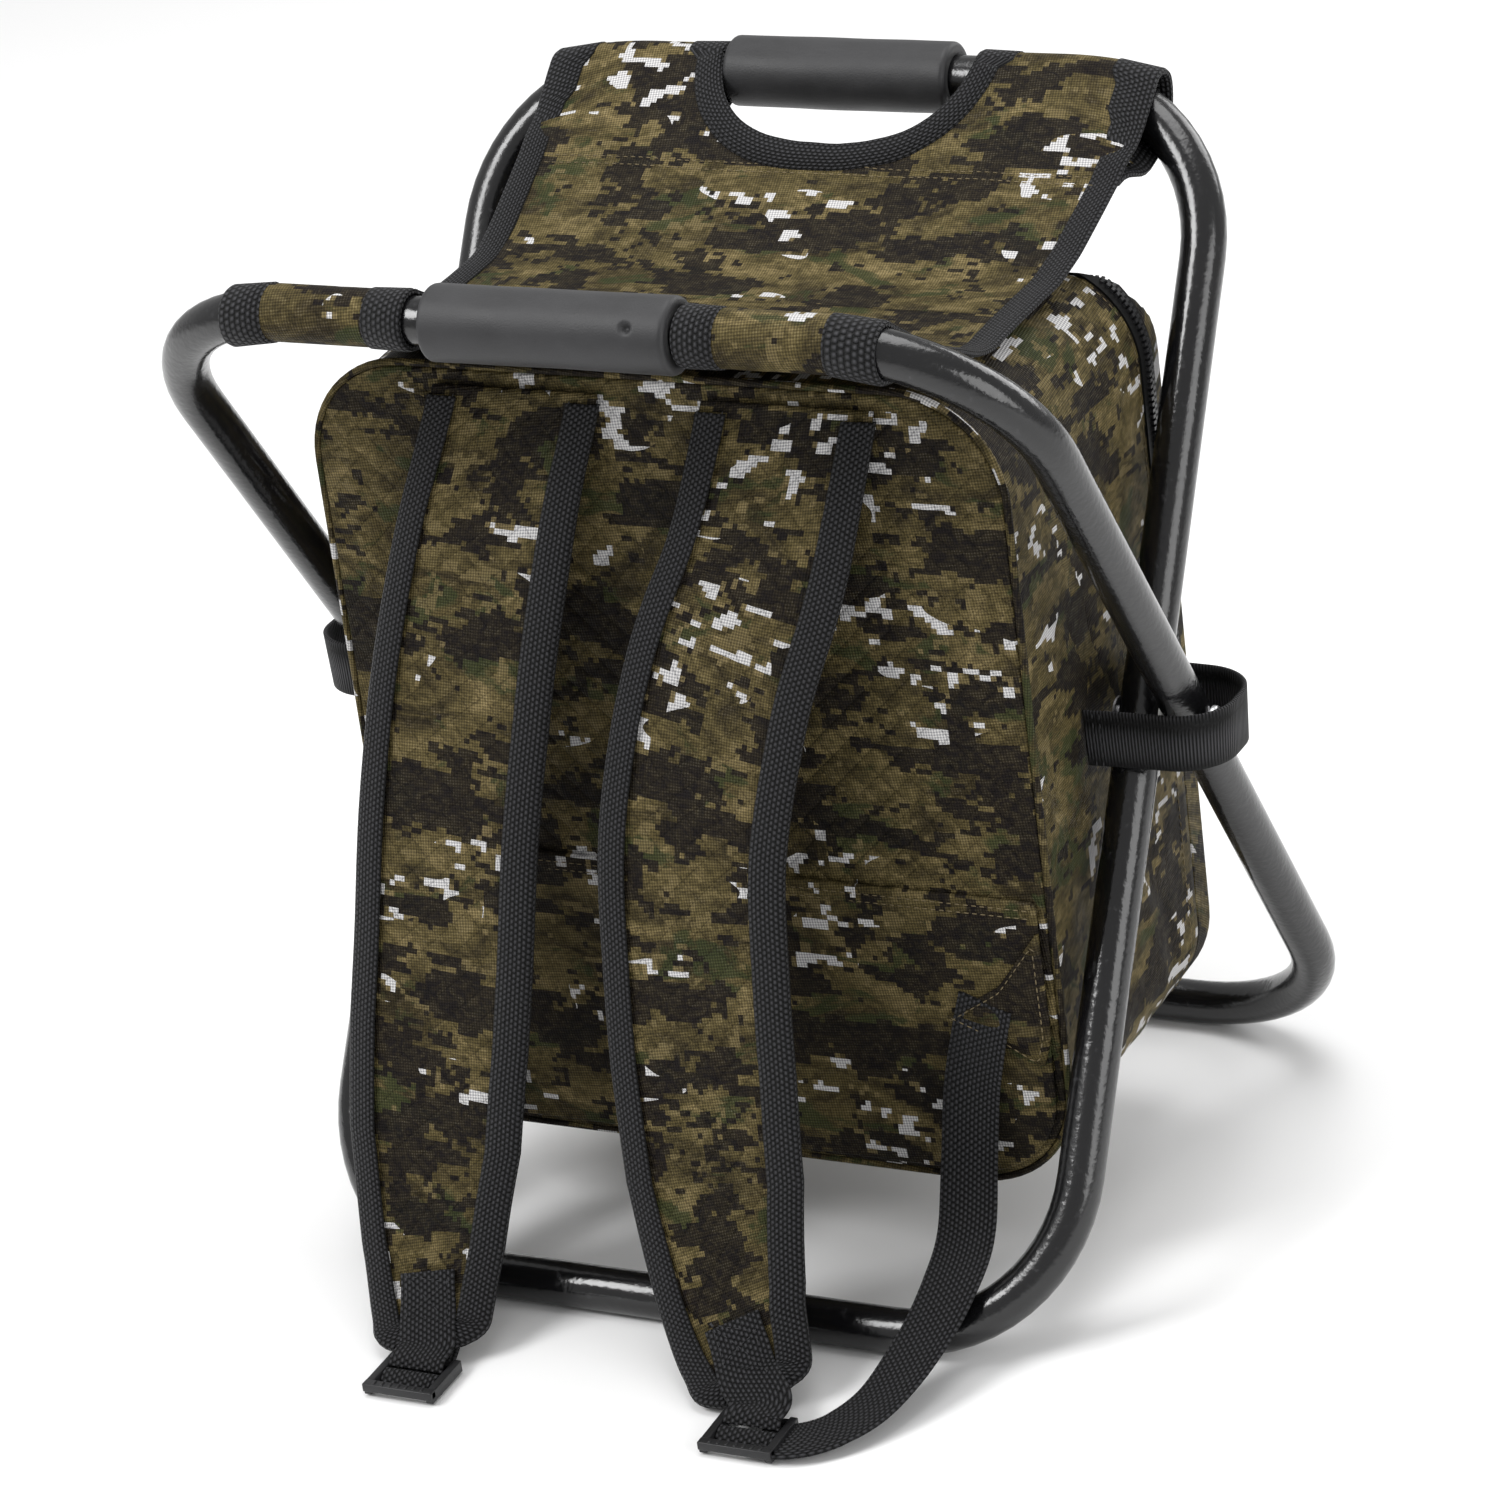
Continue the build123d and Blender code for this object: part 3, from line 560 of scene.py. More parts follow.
def thickened(made, thickness, offset):
    """Give a sheet its thickness; offset -1 grows inwards, 0 both ways."""
    wall = made.modifiers.new("wall", "SOLIDIFY")
    wall.thickness = thickness
    wall.offset = offset
    wall.use_even_offset = False
    return baked(made)


def joined(name, parts):
    """One object from several."""
    with bpy.context.temp_override(active_object=parts[0], selected_editable_objects=parts,
                                   selected_objects=parts):
        bpy.ops.object.join()
    parts[0].name = name
    parts[0].data.name = name
    return parts[0]


def catmull(points, count):
    """Smooth curve through points, evenly spaced along its length."""
    path = np.array(points, float)
    ends = np.vstack([2 * path[0] - path[1], path, 2 * path[-1] - path[-2]])
    fine = []
    for k in range(len(path) - 1):
        a, b, c, d = ends[k:k + 4]
        t = np.linspace(0, 1, 24, endpoint=False)[:, None]
        fine.append(0.5 * (2 * b + (c - a) * t + (2 * a - 5 * b + 4 * c - d) * t ** 2
                           + (3 * b - a - 3 * c + d) * t ** 3))
    fine = np.vstack(fine + [path[-1:]])
    return evenly(fine, count)


def evenly(path, count):
    """Polyline resampled to evenly spaced points."""
    lengths = np.concatenate([[0], np.cumsum(np.linalg.norm(np.diff(path, axis=0), axis=1))])
    wanted = np.linspace(0, lengths[-1], count)
    return np.stack([np.interp(wanted, lengths, path[:, k]) for k in range(path.shape[1])], 1)


def along(path):
    """Distance along a polyline at each of its points."""
    return np.concatenate([[0], np.cumsum(np.linalg.norm(np.diff(path, axis=0), axis=1))])


def unit(vectors):
    """Vectors scaled to length 1."""
    return vectors / np.maximum(np.linalg.norm(vectors, axis=-1, keepdims=True), 1e-12)


def smooth_step(t):
    """Ease from 0 to 1."""
    t = np.clip(t, 0, 1)
    return t * t * (3 - 2 * t)


def ripple(points, scale, seed, stretch=(1, 1, 1)):
    """Smooth noise from -1 to 1 at each point."""
    flat = points.reshape(-1, 3) * np.array(stretch) * scale + seed
    values = [noise.fractal(Vector(p), 1.0, 2.0, 3) for p in flat]
    return np.array(values).reshape(points.shape[:-1])


def quilt(u, v, pitch):
    """Height from 0 to 1 of diamonds sewn at 45 degrees."""
    a = np.abs(np.sin(np.pi * (u + v) / (pitch * math.sqrt(2))))
    b = np.abs(np.sin(np.pi * (u - v) / (pitch * math.sqrt(2))))
    return np.sqrt(np.minimum(a, b))


def finished(made, body, slot, *nodes):
    """Ride on a body and stand for CAD nodes, which are hidden; the slot is not used."""
    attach(made, body)
    if nodes:
        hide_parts(*nodes)
    return made


def band_mesh(name, edge, inner, normal, height, finish, closed=False):
    """Tape folded over an edge: edge and inner are its two long sides on the cloth's middle."""
    outward = unit(edge - inner)
    shoulder = edge - outward * 0.0006
    fold = edge + outward * 0.0009
    rise = normal * height
    rows = np.stack([inner + rise * 0.75, shoulder + rise, fold + rise * 0.55,
                     fold - rise * 0.55, shoulder - rise, inner - rise * 0.75])
    length = along(edge)
    across = along(rows[:, len(edge) // 2])
    if closed:
        across = np.append(across, across[-1] + height)
    uvs = np.zeros((len(across), len(edge), 2))
    uvs[..., 0] = length[None, :]
    uvs[..., 1] = across[:, None]
    return grid_mesh(name, rows, uvs, wrap_rows=closed, finish=finish)


def ribbon_mesh(name, path, across, width, thickness, finish="webbing"):
    """Flat closed band along a path; across is its width direction at each point."""
    tangent = unit(np.gradient(path, axis=0))
    across = unit(across - tangent * np.sum(across * tangent, axis=1, keepdims=True))
    normal = np.cross(tangent, across)
    half = width / 2 if np.ndim(width) else np.full(len(path), width / 2)
    profile = [(-1, 0), (-0.96, 1), (-0.5, 1), (0, 1), (0.5, 1), (0.96, 1),
               (1, 0), (0.96, -1), (0.5, -1), (0, -1), (-0.5, -1), (-0.96, -1)]
    rows = np.stack([path + across * (c * half)[:, None] + normal * (h * thickness / 2) for c, h in profile])
    distance = along(path)
    uvs = np.zeros((len(profile) + 1, len(path), 2))
    uvs[..., 0] = distance[None, :]
    widths = [c for c, _ in profile] + [profile[0][0]]
    uvs[..., 1] = (np.array(widths)[:, None] + 1) * np.mean(half)
    made = grid_mesh(name, rows, uvs, wrap_rows=True, finish=finish)
    close_holes(made)
    return made


def close_holes(made):
    """Fill the open ends of a band or tube."""
    work = bmesh.new()
    work.from_mesh(made.data)
    edges = [edge for edge in work.edges if edge.is_boundary]
    bmesh.ops.holes_fill(work, edges=edges, sides=0)
    bmesh.ops.recalc_face_normals(work, faces=work.faces)
    work.to_mesh(made.data)
    work.free()


# ---- geometry node trees ----
def socket_id(tree, name):
    """Identifier of a tree's named input."""
    for item in tree.interface.items_tree:
        if item.name == name and item.in_out == "INPUT":
            return item.identifier
    raise RuntimeError("no input named " + name)


def repeat_tree(name, shape, sizes):
    """Tree that sets a small shape along every edge path: stitches, or zip teeth."""
    tree = bpy.data.node_groups.new(name, "GeometryNodeTree")
    tree.interface.new_socket("Geometry", in_out="INPUT", socket_type="NodeSocketGeometry")
    for label, default in sizes.items():
        size = tree.interface.new_socket(label, in_out="INPUT", socket_type="NodeSocketFloat")
        size.default_value = default
    tree.interface.new_socket("Finish", in_out="INPUT", socket_type="NodeSocketMaterial")
    tree.interface.new_socket("Geometry", in_out="OUTPUT", socket_type="NodeSocketGeometry")
    given = tree.nodes.new("NodeGroupInput")
    curve = add(tree, "GeometryNodeMeshToCurve", {"Mesh": given.outputs["Geometry"]})
    even = add(tree, "GeometryNodeResampleCurve",
               {"Curve": curve.outputs[0], "Length": given.outputs["Pitch"]}, mode="LENGTH")
    size = add(tree, "ShaderNodeCombineXYZ", {0: given.outputs["Length"], 1: given.outputs["Width"],
                                              2: given.outputs["Height"]})
    if shape == "bead":
        seed = add(tree, "GeometryNodeMeshIcoSphere", {"Radius": 0.5, "Subdivisions": 1})
    else:
        seed = add(tree, "GeometryNodeMeshCube", {"Size": (1, 1, 1)})
    tangent = tree.nodes.new("GeometryNodeInputTangent")
    turn = add(tree, "FunctionNodeAlignRotationToVector", {"Vector": tangent.outputs[0]}, axis="X")
    placed = add(tree, "GeometryNodeInstanceOnPoints", {
        "Points": even.outputs[0], "Instance": seed.outputs[0], "Rotation": turn.outputs[0],
        "Scale": size.outputs[0],
    })
    real = add(tree, "GeometryNodeRealizeInstances", {0: placed.outputs[0]})
    painted = add(tree, "GeometryNodeSetMaterial", {0: real.outputs[0], "Material": given.outputs["Finish"]})
    result = tree.nodes.new("NodeGroupOutput")
    tree.links.new(painted.outputs[0], result.inputs[0])
    return tree


def repeated(name, tree_name, paths, finish, values=None):
    """Plain mesh of small shapes set along polylines by a tree."""
    tree = bpy.data.node_groups[tree_name]
    verts, edges = [], []
    for path in paths:
        start = len(verts)
        verts += [tuple(p) for p in path]
        edges += [(start + k, start + k + 1) for k in range(len(path) - 1)]
    mesh = bpy.data.meshes.new(name)
    mesh.from_pydata(verts, edges, [])
    made = link(bpy.data.objects.new(name, mesh))
    modifier = made.modifiers.new("repeat", "NODES")
    modifier.node_group = tree
    modifier[socket_id(tree, "Finish")] = material(finish)
    for label, value in (values or {}).items():
        modifier[socket_id(tree, label)] = value
    return baked(made)


STITCHES = {}


def sew(body, finish, path):
    """Keep a line of stitches for the stitch operator."""
    STITCHES.setdefault((body, finish), []).append(np.array(path, float))


# ---- bag shapes ----
def ring(half_width, low, high, low_r, high_r, columns):
    """Rounded rectangle as (x, z), starting at the middle of the bottom and going round by +X."""
    low_r, high_r = max(low_r, 1e-4), max(high_r, 1e-4)
    corner = np.linspace(0, math.pi / 2, 15)[1:-1]
    pieces = [np.stack([np.linspace(0, half_width - low_r, columns // 2), np.full(columns // 2, low)], 1)]
    centre = np.array([half_width - low_r, low + low_r])
    pieces.append(centre + low_r * np.stack([np.sin(corner), -np.cos(corner)], 1))
    side = np.linspace(low + low_r, high - high_r, columns)
    pieces.append(np.stack([np.full(columns, half_width), side], 1))
    centre = np.array([half_width - high_r, high - high_r])
    pieces.append(centre + high_r * np.stack([np.cos(corner), np.sin(corner)], 1))
    top = np.linspace(half_width - high_r, 0, columns // 2)
    pieces.append(np.stack([top, np.full(len(top), high)], 1))
    half = np.vstack(pieces)
    other = half[-2:0:-1] * np.array([-1, 1])
    return np.vstack([half, other])


def edge_drop(y, radius):
    """How far a far edge of the bag has rounded in at one depth."""
    reach = min(max(y - (BAG_FAR_Y - radius), 0), radius)
    return radius - math.sqrt(radius ** 2 - reach ** 2)


def soft_limit(values, limit, blend=0.0025):
    """Values held below a limit, easing into it."""
    over = values - limit
    eased = values - np.maximum(over + blend, 0) ** 2 / (4 * blend)
    return np.where(over >= blend, limit, np.where(over > -blend, eased, values))


def bag_ring(y, inset, columns):
    """Outline of the bag at one depth, as rows of (x, y, z)."""
    flat = ring(BAG_HALF_W - inset, BAG_LOW_Z + inset, BAG_HIGH_Z - inset, CORNER_R - inset, CORNER_R - inset,
                columns)
    high = BAG_HIGH_Z - edge_drop(y, FAR_TOP_R)
    low = BAG_LOW_Z + edge_drop(y, FAR_BOTTOM_R)
    heights = soft_limit(flat[:, 1], high) if y > BAG_FAR_Y - FAR_TOP_R else flat[:, 1]
    heights = -soft_limit(-heights, -low) if y > BAG_FAR_Y - FAR_BOTTOM_R else heights
    return np.stack([flat[:, 0], np.full(len(flat), y), heights], 1)


def face_uvs(points):
    """UV of a face as seen from the front, in metres."""
    uvs = np.stack([points[..., 0], points[..., 2]], -1)
    return np.concatenate([uvs, uvs[:, :1]], 1)


def unfolded_uvs(points, face_y):
    """UV of a face and of the walls behind it, opened out flat, in metres."""
    outward = unit((points - np.array([0, 0, BAG_MID_Z])) * np.array([1, 0, 1]))
    flat = points + outward * (face_y - points[..., 1:2])
    return face_uvs(flat)


def shrink(outline, share):
    """Outline drawn towards its middle."""
    middle = np.array([0, outline[0, 1], (outline[:, 2].min() + outline[:, 2].max()) / 2])
    return middle + (outline - middle) * share


def patch(name, outlines, back_y, rings, relief, finish="camo"):
    """Closed panel: rounded edge rows, then a face drawn in to its middle, and a flat back at back_y."""
    shares = np.linspace(1, 0, rings)
    face = [shrink(outlines[-1], share) for share in shares[1:]]
    rows = np.stack(list(outlines) + face)
    rows = relief(rows)
    back = rows[0].copy()
    back[:, 1] = back_y
    pole = shrink(back, 0)
    rows = np.concatenate([np.stack([pole, back]), rows])
    return grid_mesh(name, rows, face_uvs(rows), wrap_columns=True, finish=finish)


def edge_distance(points, half_width, low, high):
    """Distance of each point from the nearest side of a panel."""
    x, z = points[..., 0], points[..., 2]
    return np.minimum(half_width - np.abs(x), np.minimum(z - low, high - z))


def build_back_panel(bag):
    """Quilted back panel on the near face."""
    columns = bag.columns
    outlines = [bag_ring(BAG_NEAR_Y + depth, inset, columns)
                for depth, inset in ((BACK_EDGE, 0.0), (0.0003, 0.0008), (0.0, 0.0022))]

    def relief(rows):
        reach = edge_distance(rows, BAG_HALF_W, BAG_LOW_Z, BAG_HIGH_Z)
        fade = smooth_step((reach - 0.004) / 0.012)
        dents = quilt(rows[..., 0], rows[..., 2], bag.quilt_pitch) * bag.quilt_height
        waves = ripple(rows, 9, 3.1, (1, 1, 0.8)) * 0.0009
        out = rows.copy()
        out[..., 1] -= fade * (dents + waves + 0.0004)
        return out

    made = patch("quilted_back_panel", outlines, BAG_NEAR_Y + BACK_EDGE + 0.0001, 84, relief, "quilted")
    finished(made, "bag", "camo_fabric", "back_panel")


def build_back_pocket(bag):
    """Plain lower panel on the near face, with a double row of stitches along its hem."""
    columns = bag.columns // 2
    half = BAG_HALF_W - POCKET_INSET
    low = BAG_LOW_Z + POCKET_INSET

    def outline(y, inset):
        flat = ring(half - inset, low + inset, HEM_Z - inset, CORNER_R - 0.004, 0.003, columns)
        return np.stack([flat[:, 0], np.full(len(flat), y), flat[:, 1]], 1)

    face_y = BAG_NEAR_Y - 0.0022
    outlines = [outline(face_y + 0.0014, 0), outline(face_y + 0.0003, 0.0), outline(face_y, 0.0008)]

    def relief(rows):
        out = rows.copy()
        reach = edge_distance(rows, half, BAG_LOW_Z, HEM_Z + 0.01)
        fade = smooth_step(reach / 0.02)
        waves = ripple(rows, 16, 7.7, (1, 1, 1.6)) * 0.0012
        out[..., 1] -= fade * (0.0010 + np.maximum(waves, -0.0006))
        return out

    made = patch("lower_back_pocket", outlines, BAG_NEAR_Y - 0.0012, 40, relief)
    finished(made, "bag", "camo_fabric", "back_pocket")
    width = BAG_HALF_W - 0.008
    for drop in (0.0035, 0.0070):
        line = [(x, face_y - 0.0010, HEM_Z - drop) for x in np.linspace(-width, width, 60)]
        sew("bag", "thread_olive", line)


def wall_share(bag):
    """How much smaller the inside of the bag's skin is than its outside, across, deep and up."""
    return np.array([1 - bag.skin / SKIN_SPAN_X, 1, 1 - bag.skin / SKIN_SPAN_Z])


def build_gusset(bag):
    """Sides, top and bottom of the bag, creased where the cloth is slack."""
    columns = bag.columns
    near_y = BAG_NEAR_Y + BACK_EDGE
    depths = np.linspace(near_y, ZIP_Y, 46)
    rows = np.stack([bag_ring(y, 0.0, columns) for y in depths])
    middle = np.array([0, 0, BAG_MID_Z])
    section = np.array([1, 0, 1])
    outward = unit((rows - middle) * section)
    side = np.abs(rows[..., 0]) > BAG_HALF_W - 0.001
    outward[side] = np.sign(rows[side][:, :1]) * np.array([1, 0, 0])
    top = rows[..., 2] > BAG_HIGH_Z - 0.0005
    outward[top] = (0, 0, 1)
    fade = smooth_step((rows[..., 1] - near_y) / 0.014) * smooth_step((ZIP_Y - 0.010 - rows[..., 1]) / 0.020)
    slant = rows[..., 2:3] * np.array([0, 0.35, 0])
    creases = ripple(rows + slant, 26, 1.7, (1, 1.5, 0.45))
    folds = ripple(rows + slant, 60, 5.7, (1, 1.6, 0.5))
    height = bag.crease * (creases * 0.9 + folds * 0.35 - 0.25)
    height = np.where(top, np.minimum(height, 0), height)
    rows = rows + outward * (fade * np.clip(height, -0.0030, 0.0017))[..., None]
    inner = np.stack([bag_ring(y, 0.0, columns) for y in depths[::-5]])
    inner = middle + (inner - middle) * wall_share(bag)
    rows = np.concatenate([rows, inner])
    girth = along(np.vstack([rows[0], rows[0][:1]]))
    depth = along(rows[:, rows.shape[1] // 4])
    uvs = np.zeros((len(rows) + 1, rows.shape[1] + 1, 2))
    uvs[..., 0] = girth[None, :] + 0.9
    uvs[:-1, :, 1] = depth[:, None] + 0.7
    uvs[-1, :, 1] = depth[-1] + 0.7
    turned = uvs[..., ::-1].copy()
    made = grid_mesh("side_gusset", rows, turned, wrap_rows=True, wrap_columns=True)
    finished(made, "bag", "camo_fabric", "gusset")
    for y in (BAG_NEAR_Y + 0.0062, ZIP_Y - 0.0085):
        line = bag_ring(y, -0.0002, columns)
        sew("bag", "thread_olive", np.vstack([line, line[:1]]))


def build_front(bag):
    """Far panel below the hinge line, and the zipped flap above it, cut from one rounded shell."""
    columns = bag.columns
    outlines = []
    straight = BAG_FAR_Y - FAR_SIDE_R
    for y in np.linspace(ZIP_Y + 0.0002, straight, 8):
        outlines.append(bag_ring(y, 0.0, columns))
    for turn in np.linspace(0, math.pi / 2, 7)[1:]:
        depth = straight + FAR_SIDE_R * math.sin(turn)
        outlines.append(bag_ring(depth, FAR_SIDE_R * (1 - math.cos(turn)), columns))
    rows = np.stack(outlines + [shrink(outlines[-1], share) for share in np.linspace(1, 0, 36)[1:]])
    reach = edge_distance(rows, BAG_HALF_W, BAG_LOW_Z, BAG_HIGH_Z)
    waves = ripple(rows, 12, 9.3, (1, 1, 1.3)) * 0.0016
    flat_hinge = smooth_step(np.abs(rows[..., 2] - HINGE_Z) / 0.014)
    rows[..., 1] += smooth_step((reach - 0.010) / 0.03) * flat_hinge * np.clip(waves, -0.002, 0.0016)
    inner = rows[::-1].copy()
    inner[..., 1] -= bag.skin
    inner[-14:, :, 1] += bag.skin
    middle = np.array([0, 0, BAG_MID_Z])
    inner = middle + (inner - middle) * wall_share(bag)
    rows = np.concatenate([rows, inner])
    uvs = unfolded_uvs(np.concatenate([rows, rows[:1]]), BAG_FAR_Y) + 1.7
    shell = grid_mesh("front_shell", rows, uvs, wrap_rows=True, wrap_columns=True)
    flap = link(bpy.data.objects.new("zipped_front_flap", shell.data.copy()))
    cut_at(flap, HINGE_Z + 0.0001, keep_above=True)
    cut_at(shell, HINGE_Z - 0.0001, keep_above=False)
    shell.name = "lower_front_panel"
    finished(flap, "front_flap", "camo_fabric", "flap_panel")
    finished(shell, "bag", "camo_fabric", "front_panel")
    for x_side in (-1, 1):
        x = x_side * (BAG_HALF_W - 0.016)
        high_z = BAG_HIGH_Z - FAR_TOP_R
        line = [(x, BAG_FAR_Y + 0.0004, z) for z in np.linspace(HINGE_Z + 0.006, high_z, 60)]
        sew("front_flap", "thread_olive", line)
    line = [(x, BAG_FAR_Y + 0.0006, HINGE_Z + 0.006) for x in np.linspace(-0.132, 0.132, 90)]
    sew("front_flap", "thread_olive", line)


def cut_at(made, z, keep_above):
    """Cut a closed shell level at z, keep one side and close the cut."""
    work = bmesh.new()
    work.from_mesh(made.data)
    result = bmesh.ops.bisect_plane(work, geom=work.verts[:] + work.edges[:] + work.faces[:], dist=1e-6,
                                    plane_co=(0, 0, z), plane_no=(0, 0, 1),
                                    clear_outer=not keep_above, clear_inner=keep_above)
    edges = [item for item in result["geom_cut"] if isinstance(item, bmesh.types.BMEdge)]
    bmesh.ops.holes_fill(work, edges=edges, sides=0)
    bmesh.ops.recalc_face_normals(work, faces=work.faces)
    work.to_mesh(made.data)
    work.free()


def build_front_pocket(bag):
    """Patch pocket on the far face, below the flap, open along its hem."""
    columns = 44
    half = POCKET_HIGH.x
    high = POCKET_HIGH.z

    def outline(y, inset, top):
        flat = ring(half - inset, POCKET_LOW.z + inset, top, 0.022, 0.0015, columns)
        return np.stack([flat[:, 0], np.full(len(flat), y), flat[:, 1]], 1)

    near_y = BAG_FAR_Y + 0.0004
    far_y = POCKET_HIGH.y - 0.0008
    outer = [outline(near_y, 0, high), outline(far_y - 0.002, 0.0002, high), outline(far_y, 0.003, high)]
    face = [shrink(outer[-1], share) for share in np.linspace(1, 0, 30)[1:]]
    rows = np.stack(outer + face)
    reach = edge_distance(rows, half, POCKET_LOW.z, high + 0.02)
    rows[..., 1] += smooth_step(reach / 0.03) * np.clip(ripple(rows, 18, 4.1) * 0.0014, -0.0016, 0.0010)
    made = grid_mesh("front_patch_pocket", rows, face_uvs(rows) + 2.6, wrap_columns=True)
    open_hem(made, high - 0.0002, far_y - 0.004)
    thickened(made, bag.skin, -1)
    finished(made, "bag", "camo_fabric", "front_pocket")
    for drop in (0.004, 0.0075):
        line = [(x, far_y + 0.0002, high - drop) for x in np.linspace(-half + 0.006, half - 0.006, 90)]
        sew("bag", "thread_olive", line)


def open_hem(made, z, y):
    """Remove the top wall of a patch so that its mouth is open."""
    work = bmesh.new()
    work.from_mesh(made.data)
    shut = [face for face in work.faces
            if face.normal.z > 0.9 and face.calc_center_median().z > z and face.calc_center_median().y < y]
    bmesh.ops.delete(work, geom=shut, context="FACES")
    work.to_mesh(made.data)
    work.free()


def tube_ring(name, path, radius, finish, sides=10):
    """Closed round cord along a closed path."""
    tangent = unit(np.roll(path, -1, axis=0) - np.roll(path, 1, axis=0))
    depth = np.array([0, 1, 0])
    outward = np.cross(tangent, depth)
    turns = np.linspace(0, 2 * math.pi, sides, endpoint=False)
    rows = np.stack([path + radius * (math.cos(a) * depth + math.sin(a) * outward) for a in turns])
    distance = along(np.vstack([path, path[:1]]))
    uvs = np.zeros((sides + 1, len(path) + 1, 2))
    uvs[..., 0] = distance[None, :]
    uvs[..., 1] = (np.arange(sides + 1) / sides * 2 * math.pi * radius)[:, None] + 3.3
    return grid_mesh(name, rows, uvs, wrap_rows=True, wrap_columns=True, finish=finish)


def build_piping(bag):
    """Fabric-covered piping in the seam round the near face of the bag."""
    near = bag_ring(BAG_NEAR_Y + PIPING_R, -PIPING_R * 0.8, bag.columns)
    finished(tube_ring("near_edge_piping", near, PIPING_R, "camo"), "bag", "camo_fabric", "near_piping")


def build_zip(bag, stitches):
    """Zip teeth in two interleaved rows over the seam, one row on each side of the opening."""
    line = bag_ring(ZIP_Y, -0.0016, bag.columns)
    path = line[line[:, 2] > HINGE_Z + 0.001]
    steps = np.linalg.norm(np.diff(path, axis=0), axis=1)
    if steps.max() > 0.05:
        path = np.roll(path, -int(np.argmax(steps)) - 1, axis=0)
    pitch = stitches.tooth_pitch
    path = evenly(path, int(along(path)[-1] / pitch * 2))
    values = {"Pitch": pitch, "Length": pitch * 0.55, "Width": 0.0026, "Height": 0.0016}
    for name, body, node, offset, shift in (
        ("bag_zip_teeth", "bag", "bag_zip_coil", -0.0009, 0),
        ("flap_zip_teeth", "front_flap", "flap_zip_coil", 0.0013, 1),
    ):
        row = path[shift:] + np.array([0, offset, 0])
        made = repeated(name, "zip teeth", [row], "plastic", values)
        finished(made, body, "zip_coil", node)


# ---- sling ----
def sling_profile(sling):
    """Stretches of the sling's section, as (distance from middle, height): seat, rise, turn and return."""
    fabric_r = TUBE_R + 0.0013
    seat_z = SEAT_LOW_Z + 0.0012
    seam = np.array([sling.seam_y, seat_z + 0.0235])
    rise = catmull([(0, seat_z), (0.018, seat_z), (0.034, seat_z + 0.0008), (0.052, seat_z + 0.0058),
                    (0.073, seat_z + 0.0150), tuple(seam)], 30)
    centre = np.array([BAR_Y, BAR_Z])
    gap = centre - seam
    reach = math.acos(fabric_r / np.linalg.norm(gap))
    back = math.atan2(-gap[1], -gap[0])
    high_turn = back - reach + 2 * math.pi
    low_turn = back + reach
    turns = np.linspace(high_turn, low_turn, 22)
    wrap = centre + fabric_r * np.stack([np.cos(turns), np.sin(turns)], 1)
    up = np.linspace(seam, wrap[0], 11)[1:-1]
    seam_low = seam - np.array([0.0, 0.0016])
    down = np.linspace(wrap[-1], seam_low, 11)[1:]
    return rise, up, wrap, down


def bar_drop(side, x):
    """How far a bar's bend falls below its straight run at x, towards the pivot."""
    past = np.clip(np.abs(x) - BEND_START[side], 0, BEND_R * 0.98)
    return BEND_R - np.sqrt(BEND_R ** 2 - past ** 2)


def sling_points(side, sling, columns):
    """Grid of one half of the sling, the same grid laid flat, and how many of its rows are seat."""
    rise, up, wrap, down = sling_profile(sling)
    seat = np.vstack([rise, up, wrap[:1]])
    rest = np.vstack([wrap[1:], down])
    rows = len(seat) + len(rest)
    grid = np.zeros((rows, len(columns), 3))
    flat = np.zeros((rows, len(columns), 2))
    seat_length = along(seat)
    rest_length = seat_length[-1] + along(np.vstack([wrap[:1], rest]))[1:]
    for j, x in enumerate(columns):
        inside = min(abs(x) / sling.cut_half_width, 1.0)
        cut = BAR_Y - sling.cut_depth * (1 - inside ** 2.3) ** (1 / 2.3)
        cut = min(cut, wrap[0, 0])
        end = np.interp(cut, seat[:, 0], seat_length)
        lengths = seat_length * end / seat_length[-1]
        profile = np.stack([np.interp(lengths, seat_length, seat[:, k]) for k in (0, 1)], 1)
        profile = np.vstack([profile, rest])
        waist = smooth_step(profile[:, 0] / BAR_Y)
        edge = sling.waist_half_width + (sling.bar_half_width - sling.waist_half_width) * waist
        spare = abs(x) - sling.cut_half_width
        full = sling.bar_half_width - sling.cut_half_width
        if spare > 0:
            wide = sling.cut_half_width + spare * (edge - sling.cut_half_width) / full
        else:
            wide = np.full(rows, abs(x))
        drop = bar_drop(side, x)
        lift = smooth_step((profile[:, 0] - sling.seam_y) / (BAR_Y - 0.012 - sling.seam_y))
        if side > 0:
            low = smooth_step((BAR_Z + 0.009 - profile[:, 1]) / 0.018)
            lift = lift * (0.35 + 0.65 * low)
        lean = np.array([BAR_Y, BAR_Z - PIVOT_Z]) / LEG_HALF
        profile = profile - drop * lift[:, None] * lean
        grid[:, j, 0] = math.copysign(1, x) * wide
        grid[:, j, 1] = side * profile[:, 0]
        grid[:, j, 2] = profile[:, 1]
        flat[:, j, 0] = grid[:, j, 0]
        flat[:, j, 1] = side * np.concatenate([lengths, rest_length])
    waves = ripple(grid, 15, 2.2 + side, (0.8, 1, 1)) * 0.0013
    waves = waves + ripple(grid, 42, 6.2 + side, (1.3, 0.5, 1)) * 0.0005
    reach = np.abs(grid[..., 1])
    slack = smooth_step(reach / 0.05) * smooth_step((BAR_Y - 0.018 - reach) / 0.02)
    slack[len(seat):] *= 0
    grid[..., 2] += slack * waves
    return grid, flat, len(seat)


def sling_columns(sling):
    """Places across the sling, closer together at the cut-out's ends."""
    turns = np.linspace(0, math.pi / 2, 22)
    inner = sling.cut_half_width * np.sin(turns)
    outer = np.linspace(sling.cut_half_width, sling.bar_half_width, 26)[1:]
    right = np.concatenate([inner, outer])
    return np.concatenate([-right[:0:-1], right])


